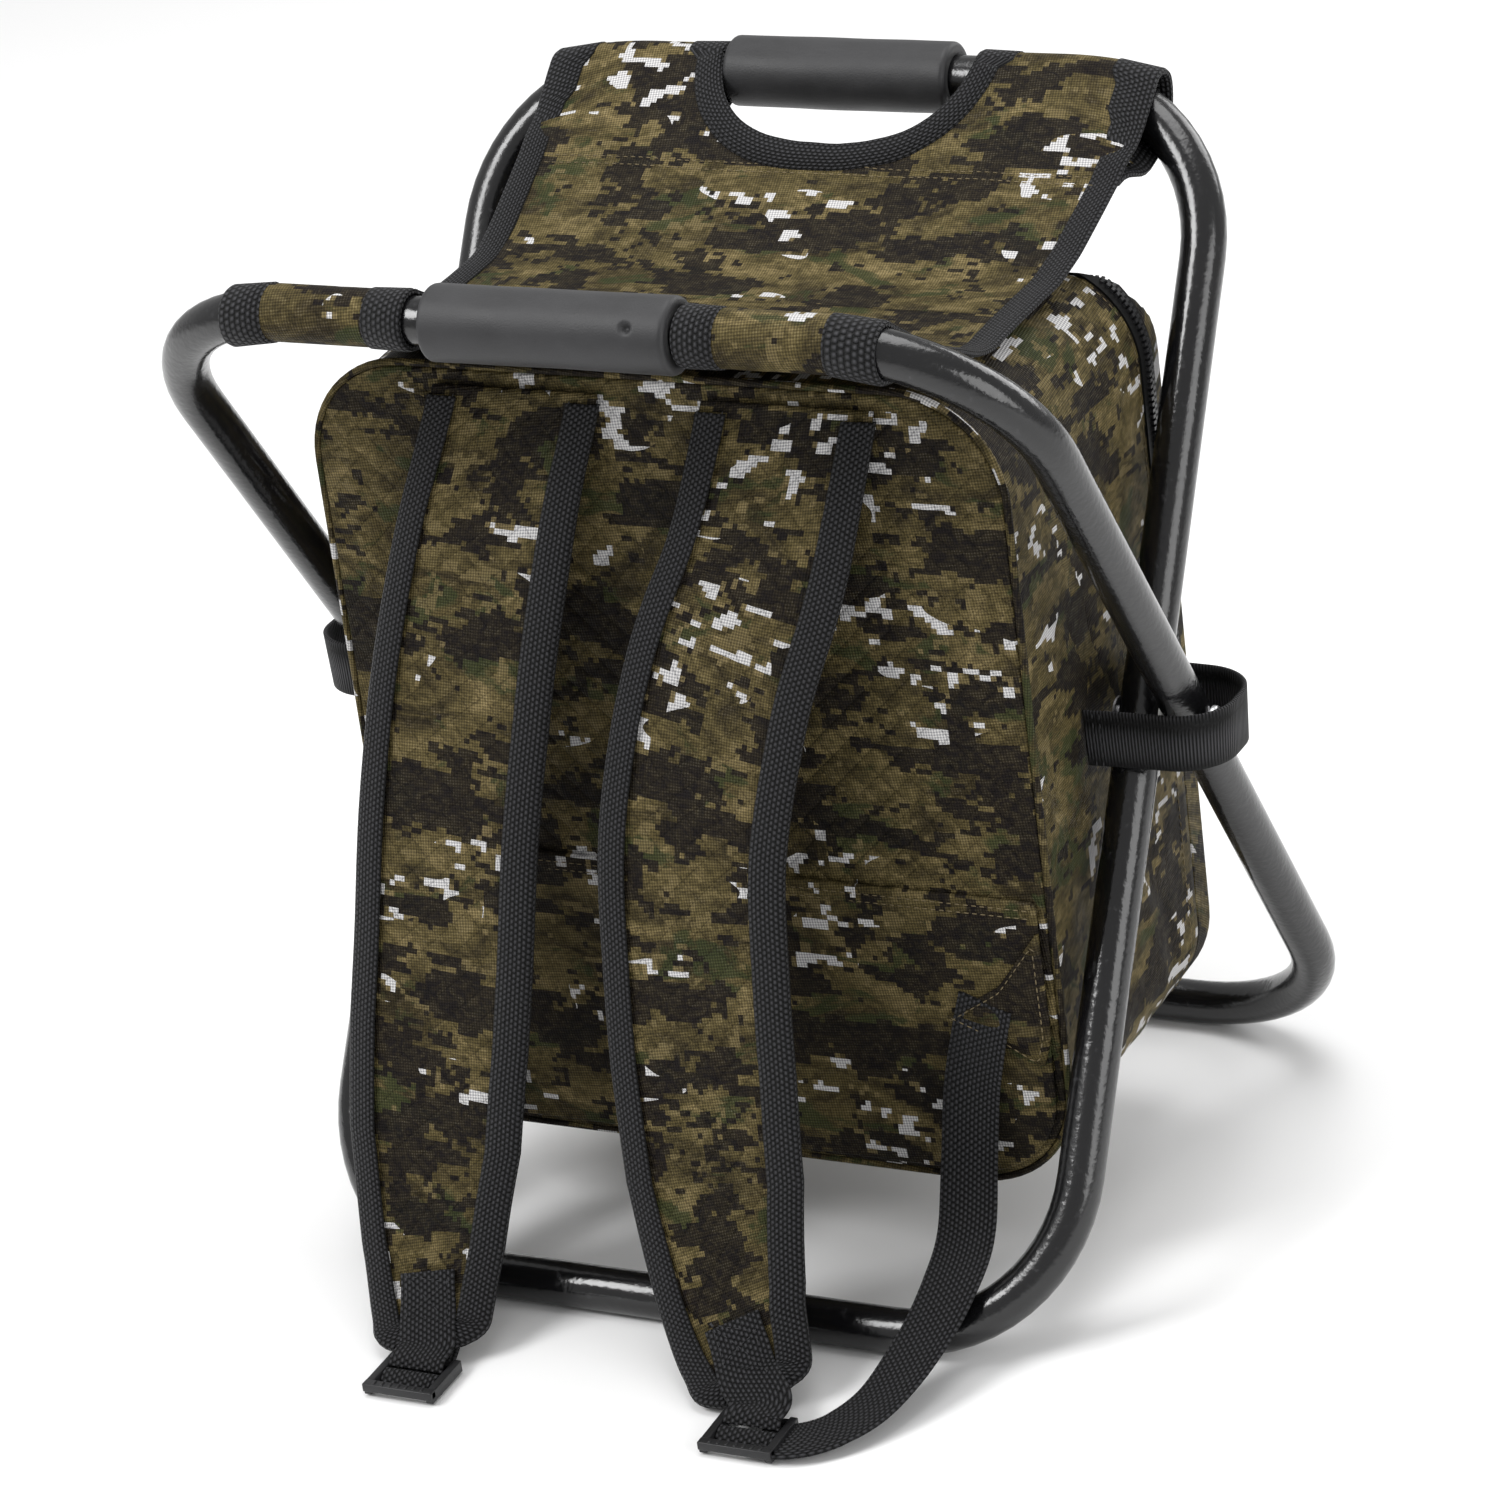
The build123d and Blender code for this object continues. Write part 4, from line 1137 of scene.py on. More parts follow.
def row_normals(grid):
    """Upward normal of a grid at each point."""
    return unit(np.cross(np.gradient(grid, axis=1), np.gradient(grid, axis=0)))


def build_sling(sling):
    """Two halves of the sling, each joined to the bag's top in the middle and sleeved round a bar."""
    columns = sling_columns(sling)
    for side, word in ((-1, "near"), (1, "far")):
        grid, flat, seat_rows = sling_points(side, sling, columns)
        rows = len(grid)
        keep = np.ones((rows, len(columns)), bool)
        middle_x = (columns[:-1] + columns[1:]) / 2
        hole = np.abs(middle_x) < sling.cut_half_width
        keep[seat_rows - 1:, :-1] = ~hole[None, :]
        made = grid_mesh(word + "_sling_half", grid, flat + 4.1 + side, keep=keep)
        thickened(made, sling.thickness, 0)
        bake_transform(made)
        nodes = [word + "_sleeve_left", word + "_sleeve_right"] + (["seat_panel"] if side < 0 else [])
        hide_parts(*nodes)
        tapes = sling_bindings(side, word, grid, columns, seat_rows, sling)
        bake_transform(tapes)
        nodes = [word + "_sleeve_bindings"] + (["seat_bindings"] if side < 0 else [])
        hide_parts(*nodes)
        sling_stitches(side, word, grid, columns, seat_rows, sling)


def sling_bindings(side, word, grid, columns, seat_rows, sling):
    """Tape folded over the sling's side edges, sleeve ends and cut-out."""
    normals = row_normals(grid)
    height = sling.thickness * 0.5 + 0.0009
    parts = []
    wide = sling.binding + 0.007 * smooth_step((np.arange(len(grid)) - seat_rows + 8) / 8)
    for edge_column, step in ((0, 1), (len(columns) - 1, -1)):
        edge = grid[:, edge_column]
        inner = edge + np.array([step, 0, 0]) * wide[:, None]
        high = np.arange(len(grid)) >= seat_rows - 6
        near_x = np.argmin(np.abs(grid[:, :, 0] - inner[:, None, 0]), axis=1)
        inner = np.where(high[:, None], grid[np.arange(len(grid)), near_x], inner)
        inner[~high, 2] = grid[~high, edge_column, 2]
        normal = normals[:, edge_column].copy()
        parts.append(band_mesh("tape", edge, inner, normal, height, "binding", closed=True))
    hole = [j for j, x in enumerate(columns) if abs(x) <= sling.cut_half_width + 1e-9]
    first, last = hole[0], hole[-1]
    rest = range(len(grid) - 1, seat_rows - 1, -1)
    edge, inner, normal = [], [], []
    ends_w = 0.016
    for i in rest:
        edge.append(grid[i, first])
        inner.append(column_at(grid, columns, i, -sling.cut_half_width - ends_w))
        normal.append(normals[i, first])
    curve = grid[seat_rows - 1, first:last + 1]
    slope = unit(np.gradient(curve, axis=0))
    for k, j in enumerate(range(first, last + 1)):
        up = normals[seat_rows - 2, j]
        up = up * math.copysign(1, up[2])
        into = np.cross(slope[k], up) * side
        into[2] = 0
        into = into / max(np.linalg.norm(into), 1e-9)
        target = curve[k] + into * sling.binding
        target[2] = height_on(grid, columns, seat_rows, target)
        edge.append(curve[k])
        inner.append(target)
        normal.append(up)
    for i in reversed(rest):
        edge.append(grid[i, last])
        inner.append(column_at(grid, columns, i, sling.cut_half_width + ends_w))
        normal.append(normals[i, last])
    edge, inner, normal = np.array(edge), np.array(inner), np.array(normal)
    middle = len(edge) // 2
    if normal[middle][2] < 0:
        normal = -normal
    parts.append(band_mesh("tape", edge, inner, normal, height, "binding", closed=True))
    return joined(word + "_sling_bindings", parts)


def column_at(grid, columns, i, x):
    """Point of one row at a place across the sling."""
    return np.array([x if k == 0 else np.interp(x, columns, grid[i, :, k]) for k in range(3)])


def height_on(grid, columns, seat_rows, point):
    """Height of the sling under a point."""
    j = int(np.argmin(np.abs(columns - point[0])))
    reach = np.abs(grid[:seat_rows, j, 1])
    return float(np.interp(abs(point[1]), reach, grid[:seat_rows, j, 2]))


def sling_stitches(side, word, grid, columns, seat_rows, sling):
    """Double seam where each sleeve is closed."""
    lines = []
    for shift in (0.0, 0.004):
        points = []
        for x in np.linspace(-0.126, 0.126, 120):
            y = side * (sling.seam_y - shift)
            lift = sling.thickness * 0.5 + 0.0002
            points.append((x, y, height_on(grid, columns, seat_rows, (x, y)) + lift))
        lines.append(points)
    made = repeated(word + "_sling_stitches", "stitch line", lines, "thread_olive")
    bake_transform(made)


# ---- straps ----
STRAP_LINE = [(-0.0868, 0.3860), (-0.0965, 0.329), (-0.1105, 0.274), (-0.1263, 0.214), (-0.1403, 0.159),
              (-0.1512, 0.1095), (-0.1622, 0.064), (-0.1765, 0.031), (-0.189, 0.015), (-0.202, 0.0068)]
STRAP_X = {
    "left": [-0.054, -0.069, -0.080, -0.088, -0.092, -0.097, -0.100, -0.098, -0.094, -0.090],
    "right": [0.065, 0.052, 0.033, 0.022, 0.023, 0.026, 0.031, 0.040, 0.050, 0.058],
}
STRAP_HALF_WIDTHS = [0.037, 0.038, 0.039, 0.040, 0.040, 0.040, 0.040, 0.0385, 0.032, 0.0225]
TIP = 0.012
WEBBING_ROUTE = {
    "left": [(-0.122, -0.0852, 0.132), (-0.117, -0.0862, 0.112), (-0.113, -0.0885, 0.090),
             (-0.113, -0.098, 0.062), (-0.116, -0.118, 0.043), (-0.117, -0.140, 0.033),
             (-0.112, -0.160, 0.015), (-0.101, -0.179, 0.0032), (-0.092, -0.2026, 0.002),
             (-0.090, -0.218, 0.0026)],
    "right": [(0.122, -0.0852, 0.132), (0.117, -0.0862, 0.112), (0.113, -0.0885, 0.090),
              (0.113, -0.098, 0.062), (0.118, -0.118, 0.043), (0.120, -0.140, 0.034),
              (0.117, -0.164, 0.022), (0.109, -0.192, 0.010), (0.098, -0.211, 0.0055),
              (0.084, -0.2215, 0.0040), (0.068, -0.222, 0.0032)],
}
WEBBING_TURNS = {
    "left": [8, 5, 0, 0, 0, 0, 6, 8, 2, 0],
    "right": [-8, -5, 0, 0, 0, 0, -12, -25, -50, -80, -88],
}


def strap_frame(name, count=190):
    """Middle line of a shoulder strap, its half width, and its width and outward directions."""
    points = [(x, y, z) for x, (y, z) in zip(STRAP_X[name], STRAP_LINE)]
    path = catmull(points, count)
    spots = np.linspace(0, 1, len(STRAP_HALF_WIDTHS))
    reach = along(path)
    marks = np.interp(spots, np.linspace(0, 1, len(points)), along(catmull(points, len(points) * 24))[::24])
    half = np.interp(reach / reach[-1], marks / marks[-1], STRAP_HALF_WIDTHS)
    tangent = unit(np.gradient(path, axis=0))
    across = np.tile(np.array([1.0, 0, 0]), (count, 1))
    square = unit(across - tangent * np.sum(across * tangent, axis=1, keepdims=True))
    outward = np.cross(tangent, square)
    across = unit(across + (square - across) * smooth_step((reach - 0.03) / 0.09)[:, None])
    near_end = np.clip((reach - reach[-1] + TIP) / TIP, 0, 0.985)
    half = half * np.sqrt(1 - near_end ** 2.6)
    return path, reach, half, across, outward


def build_strap(name, straps, bag):
    """Quilted shoulder strap with tape round its edge."""
    path, reach, half, across, outward = strap_frame(name)
    sewn = 0.3 + 0.7 * smooth_step(reach / 0.07)
    thick = straps.padding / 2 * sewn
    path = path - outward * ((straps.padding / 2 - thick) + 0.0022 * (1 - smooth_step(reach / 0.05)))[:, None]
    shares = np.concatenate([np.linspace(-1, 1, 41), np.linspace(1, -1, 15)[1:-1]])
    top = np.arange(len(shares)) < 41
    rows = np.zeros((len(path), len(shares), 3))
    for k, share in enumerate(shares):
        crown = (1 - abs(share) ** 4) ** 0.5
        edge_h = 0.0010
        height = edge_h * sewn + (thick - edge_h * sewn) * crown
        if top[k]:
            dents = quilt(share * half, reach, bag.quilt_pitch) * bag.quilt_height * crown * sewn
            height = height - 0.0008 * crown + dents
        else:
            height = -height
        rows[:, k] = path + across * (share * half)[:, None] + outward * np.reshape(height, (-1, 1))
    uvs = np.zeros((len(path), len(shares) + 1, 2))
    widths = np.append(shares, shares[0])
    uvs[..., 0] = widths[None, :] * STRAP_HALF + (0.3 if name == "left" else 0.62)
    uvs[..., 1] = -reach[:, None] + 5.2
    made = grid_mesh("padded_strap_" + name, rows, uvs, wrap_columns=True, finish="quilted")
    close_holes(made)
    finished(made, "bag", "camo_fabric", "shoulder_strap_" + name)

    first = int(np.argmin(np.abs(reach - 0.004)))
    walk = np.concatenate([np.arange(first, len(path)), np.arange(first, len(path))[::-1]])
    signs = np.concatenate([-np.ones(len(walk) // 2), np.ones(len(walk) // 2)])
    edge = path[walk] + across[walk] * (signs * half[walk])[:, None]
    inset = np.maximum(half - straps.binding, 0)
    ease = smooth_step((reach - reach[-1] + TIP) / TIP)
    pull = path - unit(np.gradient(path, axis=0)) * (straps.binding * ease)[:, None] * 0.9
    inner = pull[walk] + across[walk] * (signs * inset[walk])[:, None]
    normal = outward[walk]
    tape_t = thick[walk][:, None]
    steps = np.linalg.norm(np.diff(edge, axis=0), axis=1)
    kept = np.concatenate([[True], steps > 1e-5])
    edge, inner, normal, tape_t = edge[kept], inner[kept], normal[kept], tape_t[kept]
    tape = strap_tape("strap_binding_" + name, edge, inner, normal, tape_t)
    finished(tape, "bag", "webbing")
    line = inner + normal * (tape_t + 0.0011) + unit(edge - inner) * 0.0014
    half_way = len(line) // 2
    sew("bag", "thread_black", line[:half_way - 8])
    sew("bag", "thread_black", line[half_way + 8:])


def strap_tape(name, edge, inner, normal, thick):
    """Wide tape over a padded edge, following the pad's rounding."""
    outward = unit(edge - inner)
    span = np.linalg.norm(edge - inner, axis=1, keepdims=True)
    rows = []
    upper = [(0, thick + 0.0003), (0.35, thick + 0.0002), (0.7, thick * 0.82), (0.93, thick * 0.52),
             (1.03, 0.0006)]
    lower = [(share, -height) for share, height in reversed(upper)]
    for share, height in upper + lower:
        rows.append(inner + outward * span * share + normal * (height + np.copysign(0.0004, height)))
    rows = np.stack(rows)
    uvs = np.zeros((rows.shape[0] + 1, rows.shape[1], 2))
    uvs[..., 0] = along(edge)[None, :]
    across = along(rows[:, rows.shape[1] // 4])
    uvs[..., 1] = np.append(across, across[-1] + 0.008)[:, None]
    made = grid_mesh(name, rows, uvs[:-1], finish="binding")
    return thickened(made, 0.0007, 1)


def build_strap_tab(name, straps):
    """Webbing tab with a boxed cross of stitches, sewn on the strap's tip and passed round the buckle."""
    path, reach, _, _, outward = strap_frame(name)
    start = int(np.argmin(np.abs(reach - reach[-1] + 0.034)))
    lift = straps.padding / 2 + 0.0013
    line = path[start:] + outward[start:] * lift
    low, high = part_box("buckle_" + name)
    middle = (low + high) / 2
    end = np.array([[middle.x, high.y + 0.001, 0.0105], [middle.x, middle.y + 0.0065, 0.0090],
                    [middle.x, middle.y + 0.0035, 0.0056]])
    line = catmull(np.vstack([line[::6], end]), 70)
    tangent_across = np.tile(np.array([1.0, 0, 0]), (len(line), 1))
    made = ribbon_mesh("webbing_tab_" + name, line, tangent_across, straps.webbing_width, 0.0015)
    finished(made, "bag", "webbing", "strap_tab_" + name)
    reach_tab = along(line)
    up = unit(np.cross(unit(np.gradient(line, axis=0)), tangent_across)) * 0.0009
    half_box = straps.webbing_width / 2 - 0.003

    def spot(distance, side):
        k = int(np.argmin(np.abs(reach_tab - distance)))
        return line[k] + np.array([1.0, 0, 0]) * side * half_box + up[k]

    near, far = 0.003, 0.020
    corners = [(near, -1), (near, 1), (far, 1), (far, -1), (near, -1), (far, 1), (far, -1), (near, 1)]
    for (a, a_side), (b, b_side) in zip(corners[:-1], corners[1:]):
        steps = np.linspace(0, 1, 9)
        sew("bag", "thread_black", [spot(a + (b - a) * t, a_side + (b_side - a_side) * t) for t in steps])


def box_mesh(work, low, high):
    """Add a box to a mesh being built."""
    size = Vector(high) - Vector(low)
    place = Matrix.Translation((Vector(high) + Vector(low)) / 2) @ Matrix.Diagonal((*size, 1))
    bmesh.ops.create_cube(work, size=1, matrix=place)


def mesh_from(work, name, finish, bevel):
    """Bevelled object from boxes."""
    mesh = bpy.data.meshes.new(name)
    work.to_mesh(mesh)
    work.free()
    mesh.materials.append(material(finish))
    made = link(bpy.data.objects.new(name, mesh))
    edges = made.modifiers.new("edges", "BEVEL")
    edges.width = bevel
    edges.segments = 3
    baked(made)
    for face in made.data.polygons:
        face.use_smooth = True
    made.data.set_sharp_from_angle(angle=math.radians(40))
    return made


def build_buckle(name):
    """Ladder-lock buckle: two side rails, three cross bars and a lifted lip with grip ribs."""
    low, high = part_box("buckle_" + name)
    work = bmesh.new()
    rail = 0.0034
    top = high.z
    for x0, x1 in ((low.x, low.x + rail), (high.x - rail, high.x)):
        box_mesh(work, (x0, low.y + 0.001, low.z), (x1, high.y, top - 0.0002))
    box_mesh(work, (low.x + 0.001, high.y - 0.0036, low.z + 0.0003),
             (high.x - 0.001, high.y - 0.0002, low.z + 0.0042))
    middle = (low.y + high.y) / 2
    box_mesh(work, (low.x + 0.001, middle - 0.0018, low.z), (high.x - 0.001, middle + 0.0018, low.z + 0.0034))
    box_mesh(work, (low.x, low.y, low.z + 0.0018), (high.x, low.y + 0.0042, top))
    for k in range(7):
        x = low.x + 0.005 + k * (high.x - low.x - 0.010) / 6
        box_mesh(work, (x - 0.0006, low.y + 0.0006, top - 0.0004), (x + 0.0006, low.y + 0.0036, top + 0.0005))
    made = mesh_from(work, "ladder_buckle_" + name, "plastic", 0.0008)
    finished(made, "bag", "buckle_plastic", "buckle_" + name)


def build_buckle_webbing(name, straps):
    """Turn of the adjuster webbing over a buckle's middle bar and down under its lip."""
    low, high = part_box("buckle_" + name)
    middle = (low + high) / 2
    over = high.z - 0.0008
    route = [(0.0030, 0.0026), (0.0022, over - 0.0012), (0.0, over), (-0.0026, over - 0.0007),
             (-0.0048, 0.0034), (-0.0064, 0.0018)]
    line = catmull([(middle.x, middle.y + y, z) for y, z in route], 44)
    across = np.tile(np.array([1.0, 0, 0]), (len(line), 1))
    made = ribbon_mesh("buckle_webbing_" + name, line, across, straps.webbing_width,
                       straps.webbing_thickness)
    finished(made, "bag", "webbing")


def build_adjuster(name, straps):
    """Adjuster webbing from the bag's corner tab to its buckle."""
    route = np.array(WEBBING_ROUTE[name])
    path = catmull(route, 150)
    spots = np.linspace(0, 1, len(route))
    marks = along(catmull(route, len(route) * 24))[::24]
    marks = np.interp(spots, np.linspace(0, 1, len(marks)), marks)
    turns = np.radians(np.interp(along(path) / along(path)[-1], marks / marks[-1], WEBBING_TURNS[name]))
    across = np.stack([np.cos(turns), np.sin(turns), np.zeros(len(path))], 1)
    made = ribbon_mesh("adjuster_webbing_" + name, path, across, straps.webbing_width,
                       straps.webbing_thickness)
    finished(made, "bag", "webbing", "adjuster_" + name)


def build_corner_tab(name, x_side):
    """Triangle of canvas that holds the adjuster to the bag's side seam, edge-stitched."""
    y = BAG_NEAR_Y - 0.0040
    edge = [(0.1035, 0.1225), (0.128, 0.139), (0.1475, 0.166),
            (0.1485, 0.118), (0.1445, 0.104), (0.128, 0.113)]
    ring_points = np.array([(x_side * x, y, z) for x, z in edge])
    middle = ring_points.mean(axis=0)
    closed = np.vstack([ring_points, ring_points[:1]])
    outline = evenly(closed, 49)[:-1]
    shares = np.linspace(1, 0, 10)
    rows = np.stack([middle + (outline - middle) * share for share in shares])
    pleat = np.sin((rows[..., 2] + rows[..., 0] * x_side * 0.6) * 260) * 0.0007
    rows[..., 1] -= 0.0028 * (1 - np.linspace(1, 0, 10)[:, None] ** 3) + pleat * (shares[:, None] < 0.95)
    back = rows[0] + np.array([0, 0.0016, 0])
    rows = np.concatenate([np.stack([np.tile(middle, (len(back), 1)), back]), rows])
    made = grid_mesh("corner_tab_cloth_" + name, rows, face_uvs(rows) + 6.1, wrap_columns=True)
    finished(made, "bag", "camo_fabric", "corner_tab_" + name)
    line = middle + (outline - middle) * 0.86
    line[:, 1] -= 0.0022
    sew("bag", "thread_olive", np.vstack([line, line[:1]]))


def build_side_loop(name, x_side):
    """Elastic band sewn to the bag's side and passed round the leg crossing."""
    low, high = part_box("side_loop_" + name)
    root = BAG_HALF_W + 0.0004
    reach = max(abs(low.x), abs(high.x)) - 0.0013
    half = high.y - 0.0012
    corner = 0.021
    turns = np.linspace(0, math.pi / 2, 16)
    first = [(root + k * (reach - corner - root) / 8, -half) for k in range(8)]
    arc = [(reach - corner + corner * math.sin(a), -half + corner - corner * math.cos(a)) for a in turns]
    flat = np.array(first + arc)
    flat = np.vstack([flat, flat[::-1] * np.array([1, -1])])
    path = evenly(flat, 120)
    bulge = np.sin(np.linspace(0, math.pi, len(path))) * 0.0006
    height = np.full(len(path), (low.z + high.z) / 2)
    points = np.stack([x_side * (path[:, 0] + bulge), path[:, 1], height], 1)
    points[:, 2] += np.sin(np.linspace(0, 7, len(path))) * 0.0006
    tilt = np.tile(np.array([0, 0, 1.0]), (len(path), 1))
    tilt[:, 0] = x_side * 0.05 * np.sin(np.linspace(0, math.pi, len(path)))
    made = ribbon_mesh("elastic_loop_" + name, points, tilt, 0.0246, 0.0020, "elastic")
    finished(made, "bag", "webbing", "side_loop_" + name)
    for end in (-1, 1):
        y = end * (half + 0.0014)
        for x in (root + 0.004, root + 0.007):
            line = [(x_side * x, y, z) for z in np.linspace(low.z + 0.002, high.z - 0.002, 12)]
            sew("bag", "thread_black", line)


# ---- grips ----
def build_grip(node, side):
    """Foam sleeve on a top bar, with rounded rims and a slight unevenness."""
    low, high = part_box(node)
    radius = (high.z - low.z) / 2
    bore = TUBE_R + 0.0002
    rim = 0.0022
    stations = [(low.x, bore), (low.x, radius - rim)]
    for turn in np.linspace(0, math.pi / 2, 6)[1:]:
        stations.append((low.x + rim * (1 - math.cos(turn)), radius - rim + rim * math.sin(turn)))
    for x in np.linspace(low.x + rim, high.x - rim, 120)[1:-1]:
        stations.append((x, radius))
    for turn in np.linspace(math.pi / 2, 0, 6):
        stations.append((high.x - rim * (1 - math.cos(turn)), radius - rim + rim * math.sin(turn)))
    stations.append((high.x, bore))
    sides = 110
    turns = np.linspace(0, 2 * math.pi, sides, endpoint=False)
    rows = np.zeros((len(stations), sides, 3))
    for i, (x, r) in enumerate(stations):
        y, z = side * BAR_Y + r * np.cos(turns), BAR_Z + r * np.sin(turns)
        rows[i] = np.stack([np.full(sides, x), y, z], 1)
    outer = np.array([r > radius - rim for _, r in stations])
    axis = np.array([0, side * BAR_Y, BAR_Z])
    outward = unit((rows - axis) * np.array([0, 1, 1]))
    uneven = ripple(rows, 30, 8.8, (0.6, 1, 1)) * 0.0004 - 0.0004
    dimple_at = np.array([0.0405, side * BAR_Y - radius * 0.87, BAR_Z + radius * 0.49])
    reach = np.linalg.norm(rows - dimple_at, axis=-1)
    dimple = -0.0024 * np.exp(-(reach / 0.0019) ** 4) if side < 0 else 0
    rows += outward * ((uneven + dimple) * outer[:, None])[..., None]
    uvs = np.zeros((len(stations), sides + 1, 2))
    uvs[..., 0] = np.array([x for x, _ in stations])[:, None]
    uvs[..., 1] = np.append(turns, 2 * math.pi)[None, :] * radius
    rows = np.concatenate([rows, rows[:1]])
    uvs = np.concatenate([uvs, uvs[:1]])
    made = grid_mesh("foam_" + node, rows, uvs, wrap_columns=True, finish="grip")
    finished(made, FRAME_BODY[side], "grip_foam", node)


def build_tube(name, side):
    """Smooth tube loop over the CAD loop's centre line."""
    half_width = loop_box(name)[1].x - TUBE_R
    flat = ring(half_width, -LEG_HALF, LEG_HALF, BEND_R, BEND_R, 40)
    lean = np.array([0, side * BAR_Y, BAR_Z - PIVOT_Z]) / LEG_HALF
    path = np.array([0, 0, PIVOT_Z]) + flat[:, :1] * np.array([1, 0, 0]) + flat[:, 1:] * lean
    normal = np.cross(np.array([1, 0, 0]), lean)
    tangent = unit(np.roll(path, -1, axis=0) - np.roll(path, 1, axis=0))
    outward = np.cross(tangent, normal)
    sides = 40
    turns = np.linspace(0, 2 * math.pi, sides, endpoint=False)
    rows = np.stack([path + TUBE_R * (math.cos(a) * normal + math.sin(a) * outward) for a in turns])
    uvs = np.zeros((sides + 1, len(path) + 1, 2))
    uvs[..., 0] = along(np.vstack([path, path[:1]]))[None, :]
    uvs[..., 1] = np.linspace(0, 2 * math.pi * TUBE_R, sides + 1)[:, None]
    made = grid_mesh(name + "_painted_loop", rows, uvs, wrap_rows=True, wrap_columns=True, finish="paint")
    finished(made, FRAME_BODY[side], "frame_paint", *[name + part for part in LOOP_PARTS])


# ---- operators ----
class STOOL_OT_finishes(bpy.types.Operator):
    """Make the finishes and give the CAD parts theirs"""

    bl_idname = "stool.finishes"
    bl_label = "Finishes"

    def execute(self, context):
        scene = context.scene
        finish = scene.stool_finish
        web = tuple(finish.webbing)
        MATERIALS.update({
            "camo": camo_material("camo canvas", scene.stool_fabric),
            "quilted": camo_material("quilted camo canvas", scene.stool_fabric, scene.stool_bag.quilt_pitch),
            "webbing": webbing_material("black webbing", web, 0.0026, 0.0018),
            "binding": webbing_material("grosgrain binding", web, 0.0024, 0.0017),
            "elastic": webbing_material("ribbed elastic", web, 0.0014, 0.0200, 0.0),
            "zip_tape": webbing_material("zip tape", web, 0.0010, 0.0010),
            "paint": paint_material(finish),
            "grip": rough_material("foam grip", tuple(finish.grip), 0.50, 1500, 0.0002, sheen=0.04),
            "plastic": rough_material("moulded plastic", tuple(finish.plastic), 0.36, 900, 0.00008),
            "thread_black": rough_material("black thread", (0.022, 0.022, 0.024), 0.6, 3000, 0.0001),
            "thread_olive": rough_material("olive thread", (0.13, 0.10, 0.05), 0.6, 3000, 0.0001),
            "steel": rough_material("bare steel", (0.42, 0.42, 0.43), 0.35, 500, 0.0001, metallic=1.0),
            "zip_metal": rough_material("enamelled metal", (0.05, 0.05, 0.055), 0.3, 500, 0.00005,
                                        metallic=0.6),
            "nylon": rough_material("nylon spacer", (0.62, 0.62, 0.60), 0.5, 500, 0.0001),
            "foam": rough_material("insulation foam", (0.80, 0.80, 0.79), 0.8, 700, 0.0006),
            "lining": foil_material(),
        })
        by_slot = {"frame_paint": "paint", "spigot_steel": "steel", "rivet_steel": "steel", "nylon": "nylon",
                   "grip_foam": "grip", "camo_fabric": "camo", "webbing": "webbing",
                   "buckle_plastic": "plastic",
                   "insulation": "foam", "lining": "lining", "zip_tape": "zip_tape", "zip_coil": "plastic",
                   "zip_metal": "zip_metal"}
        for part in frame["record"]["subparts"]:
            node = frame["nodes"][part["node"]]
            for socket in node.material_slots:
                socket.material = MATERIALS[by_slot[part["material_slot"]]]
        return {"FINISHED"}


class STOOL_OT_repeats(bpy.types.Operator):
    """Make the node trees that set stitches and zip teeth"""

    bl_idname = "stool.repeats"
    bl_label = "Stitch and tooth trees"

    def execute(self, context):
        sizes = context.scene.stool_stitches
        repeat_tree("stitch line", "bead", {"Pitch": sizes.stitch + sizes.gap, "Length": sizes.stitch,
                                            "Width": sizes.thread, "Height": sizes.thread})
        repeat_tree("zip teeth", "block", {"Pitch": sizes.tooth_pitch, "Length": sizes.tooth_pitch * 0.55,
                                           "Width": 0.0026, "Height": 0.0016})
        return {"FINISHED"}


class STOOL_OT_frame(bpy.types.Operator):
    """Make the painted tube loops and the foam grips"""

    bl_idname = "stool.frame"
    bl_label = "Tubes and grips"

    def execute(self, context):
        build_tube("outer", -1)
        build_tube("inner", 1)
        build_grip("near_grip", -1)
        build_grip("far_grip", 1)
        return {"FINISHED"}


class STOOL_OT_sling(bpy.types.Operator):
    """Make the sling seat, its sleeves, bindings and seams"""

    bl_idname = "stool.sling"
    bl_label = "Sling seat"

    def execute(self, context):
        build_sling(context.scene.stool_sling)
        return {"FINISHED"}


class STOOL_OT_bag(bpy.types.Operator):
    """Make the bag's panels, pockets, piping and zip"""

    bl_idname = "stool.bag"
    bl_label = "Bag"

    def execute(self, context):
        bag = context.scene.stool_bag
        build_back_panel(bag)
        build_back_pocket(bag)
        build_gusset(bag)
        build_front(bag)
        build_front_pocket(bag)
        build_piping(bag)
        build_zip(bag, context.scene.stool_stitches)
        return {"FINISHED"}


class STOOL_OT_straps(bpy.types.Operator):
    """Make the shoulder straps, tabs, buckles, adjusters and side loops"""

    bl_idname = "stool.straps"
    bl_label = "Straps and webbing"

    def execute(self, context):
        straps = context.scene.stool_straps
        for name, x_side in (("left", -1), ("right", 1)):
            build_strap(name, straps, context.scene.stool_bag)
            build_strap_tab(name, straps)
            build_buckle(name)
            build_buckle_webbing(name, straps)
            build_adjuster(name, straps)
            build_corner_tab(name, x_side)
            build_side_loop(name, x_side)
        return {"FINISHED"}


class STOOL_OT_stitches(bpy.types.Operator):
    """Sew every line of stitches that the other pieces asked for"""

    bl_idname = "stool.stitches"
    bl_label = "Stitches"

    def execute(self, context):
        for (body, finish), lines in sorted(STITCHES.items()):
            name = body + "_" + finish + "_stitches"
            made = repeated(name, "stitch line", lines, finish)
            finished(made, body, "webbing" if finish == "thread_black" else "camo_fabric")
        return {"FINISHED"}


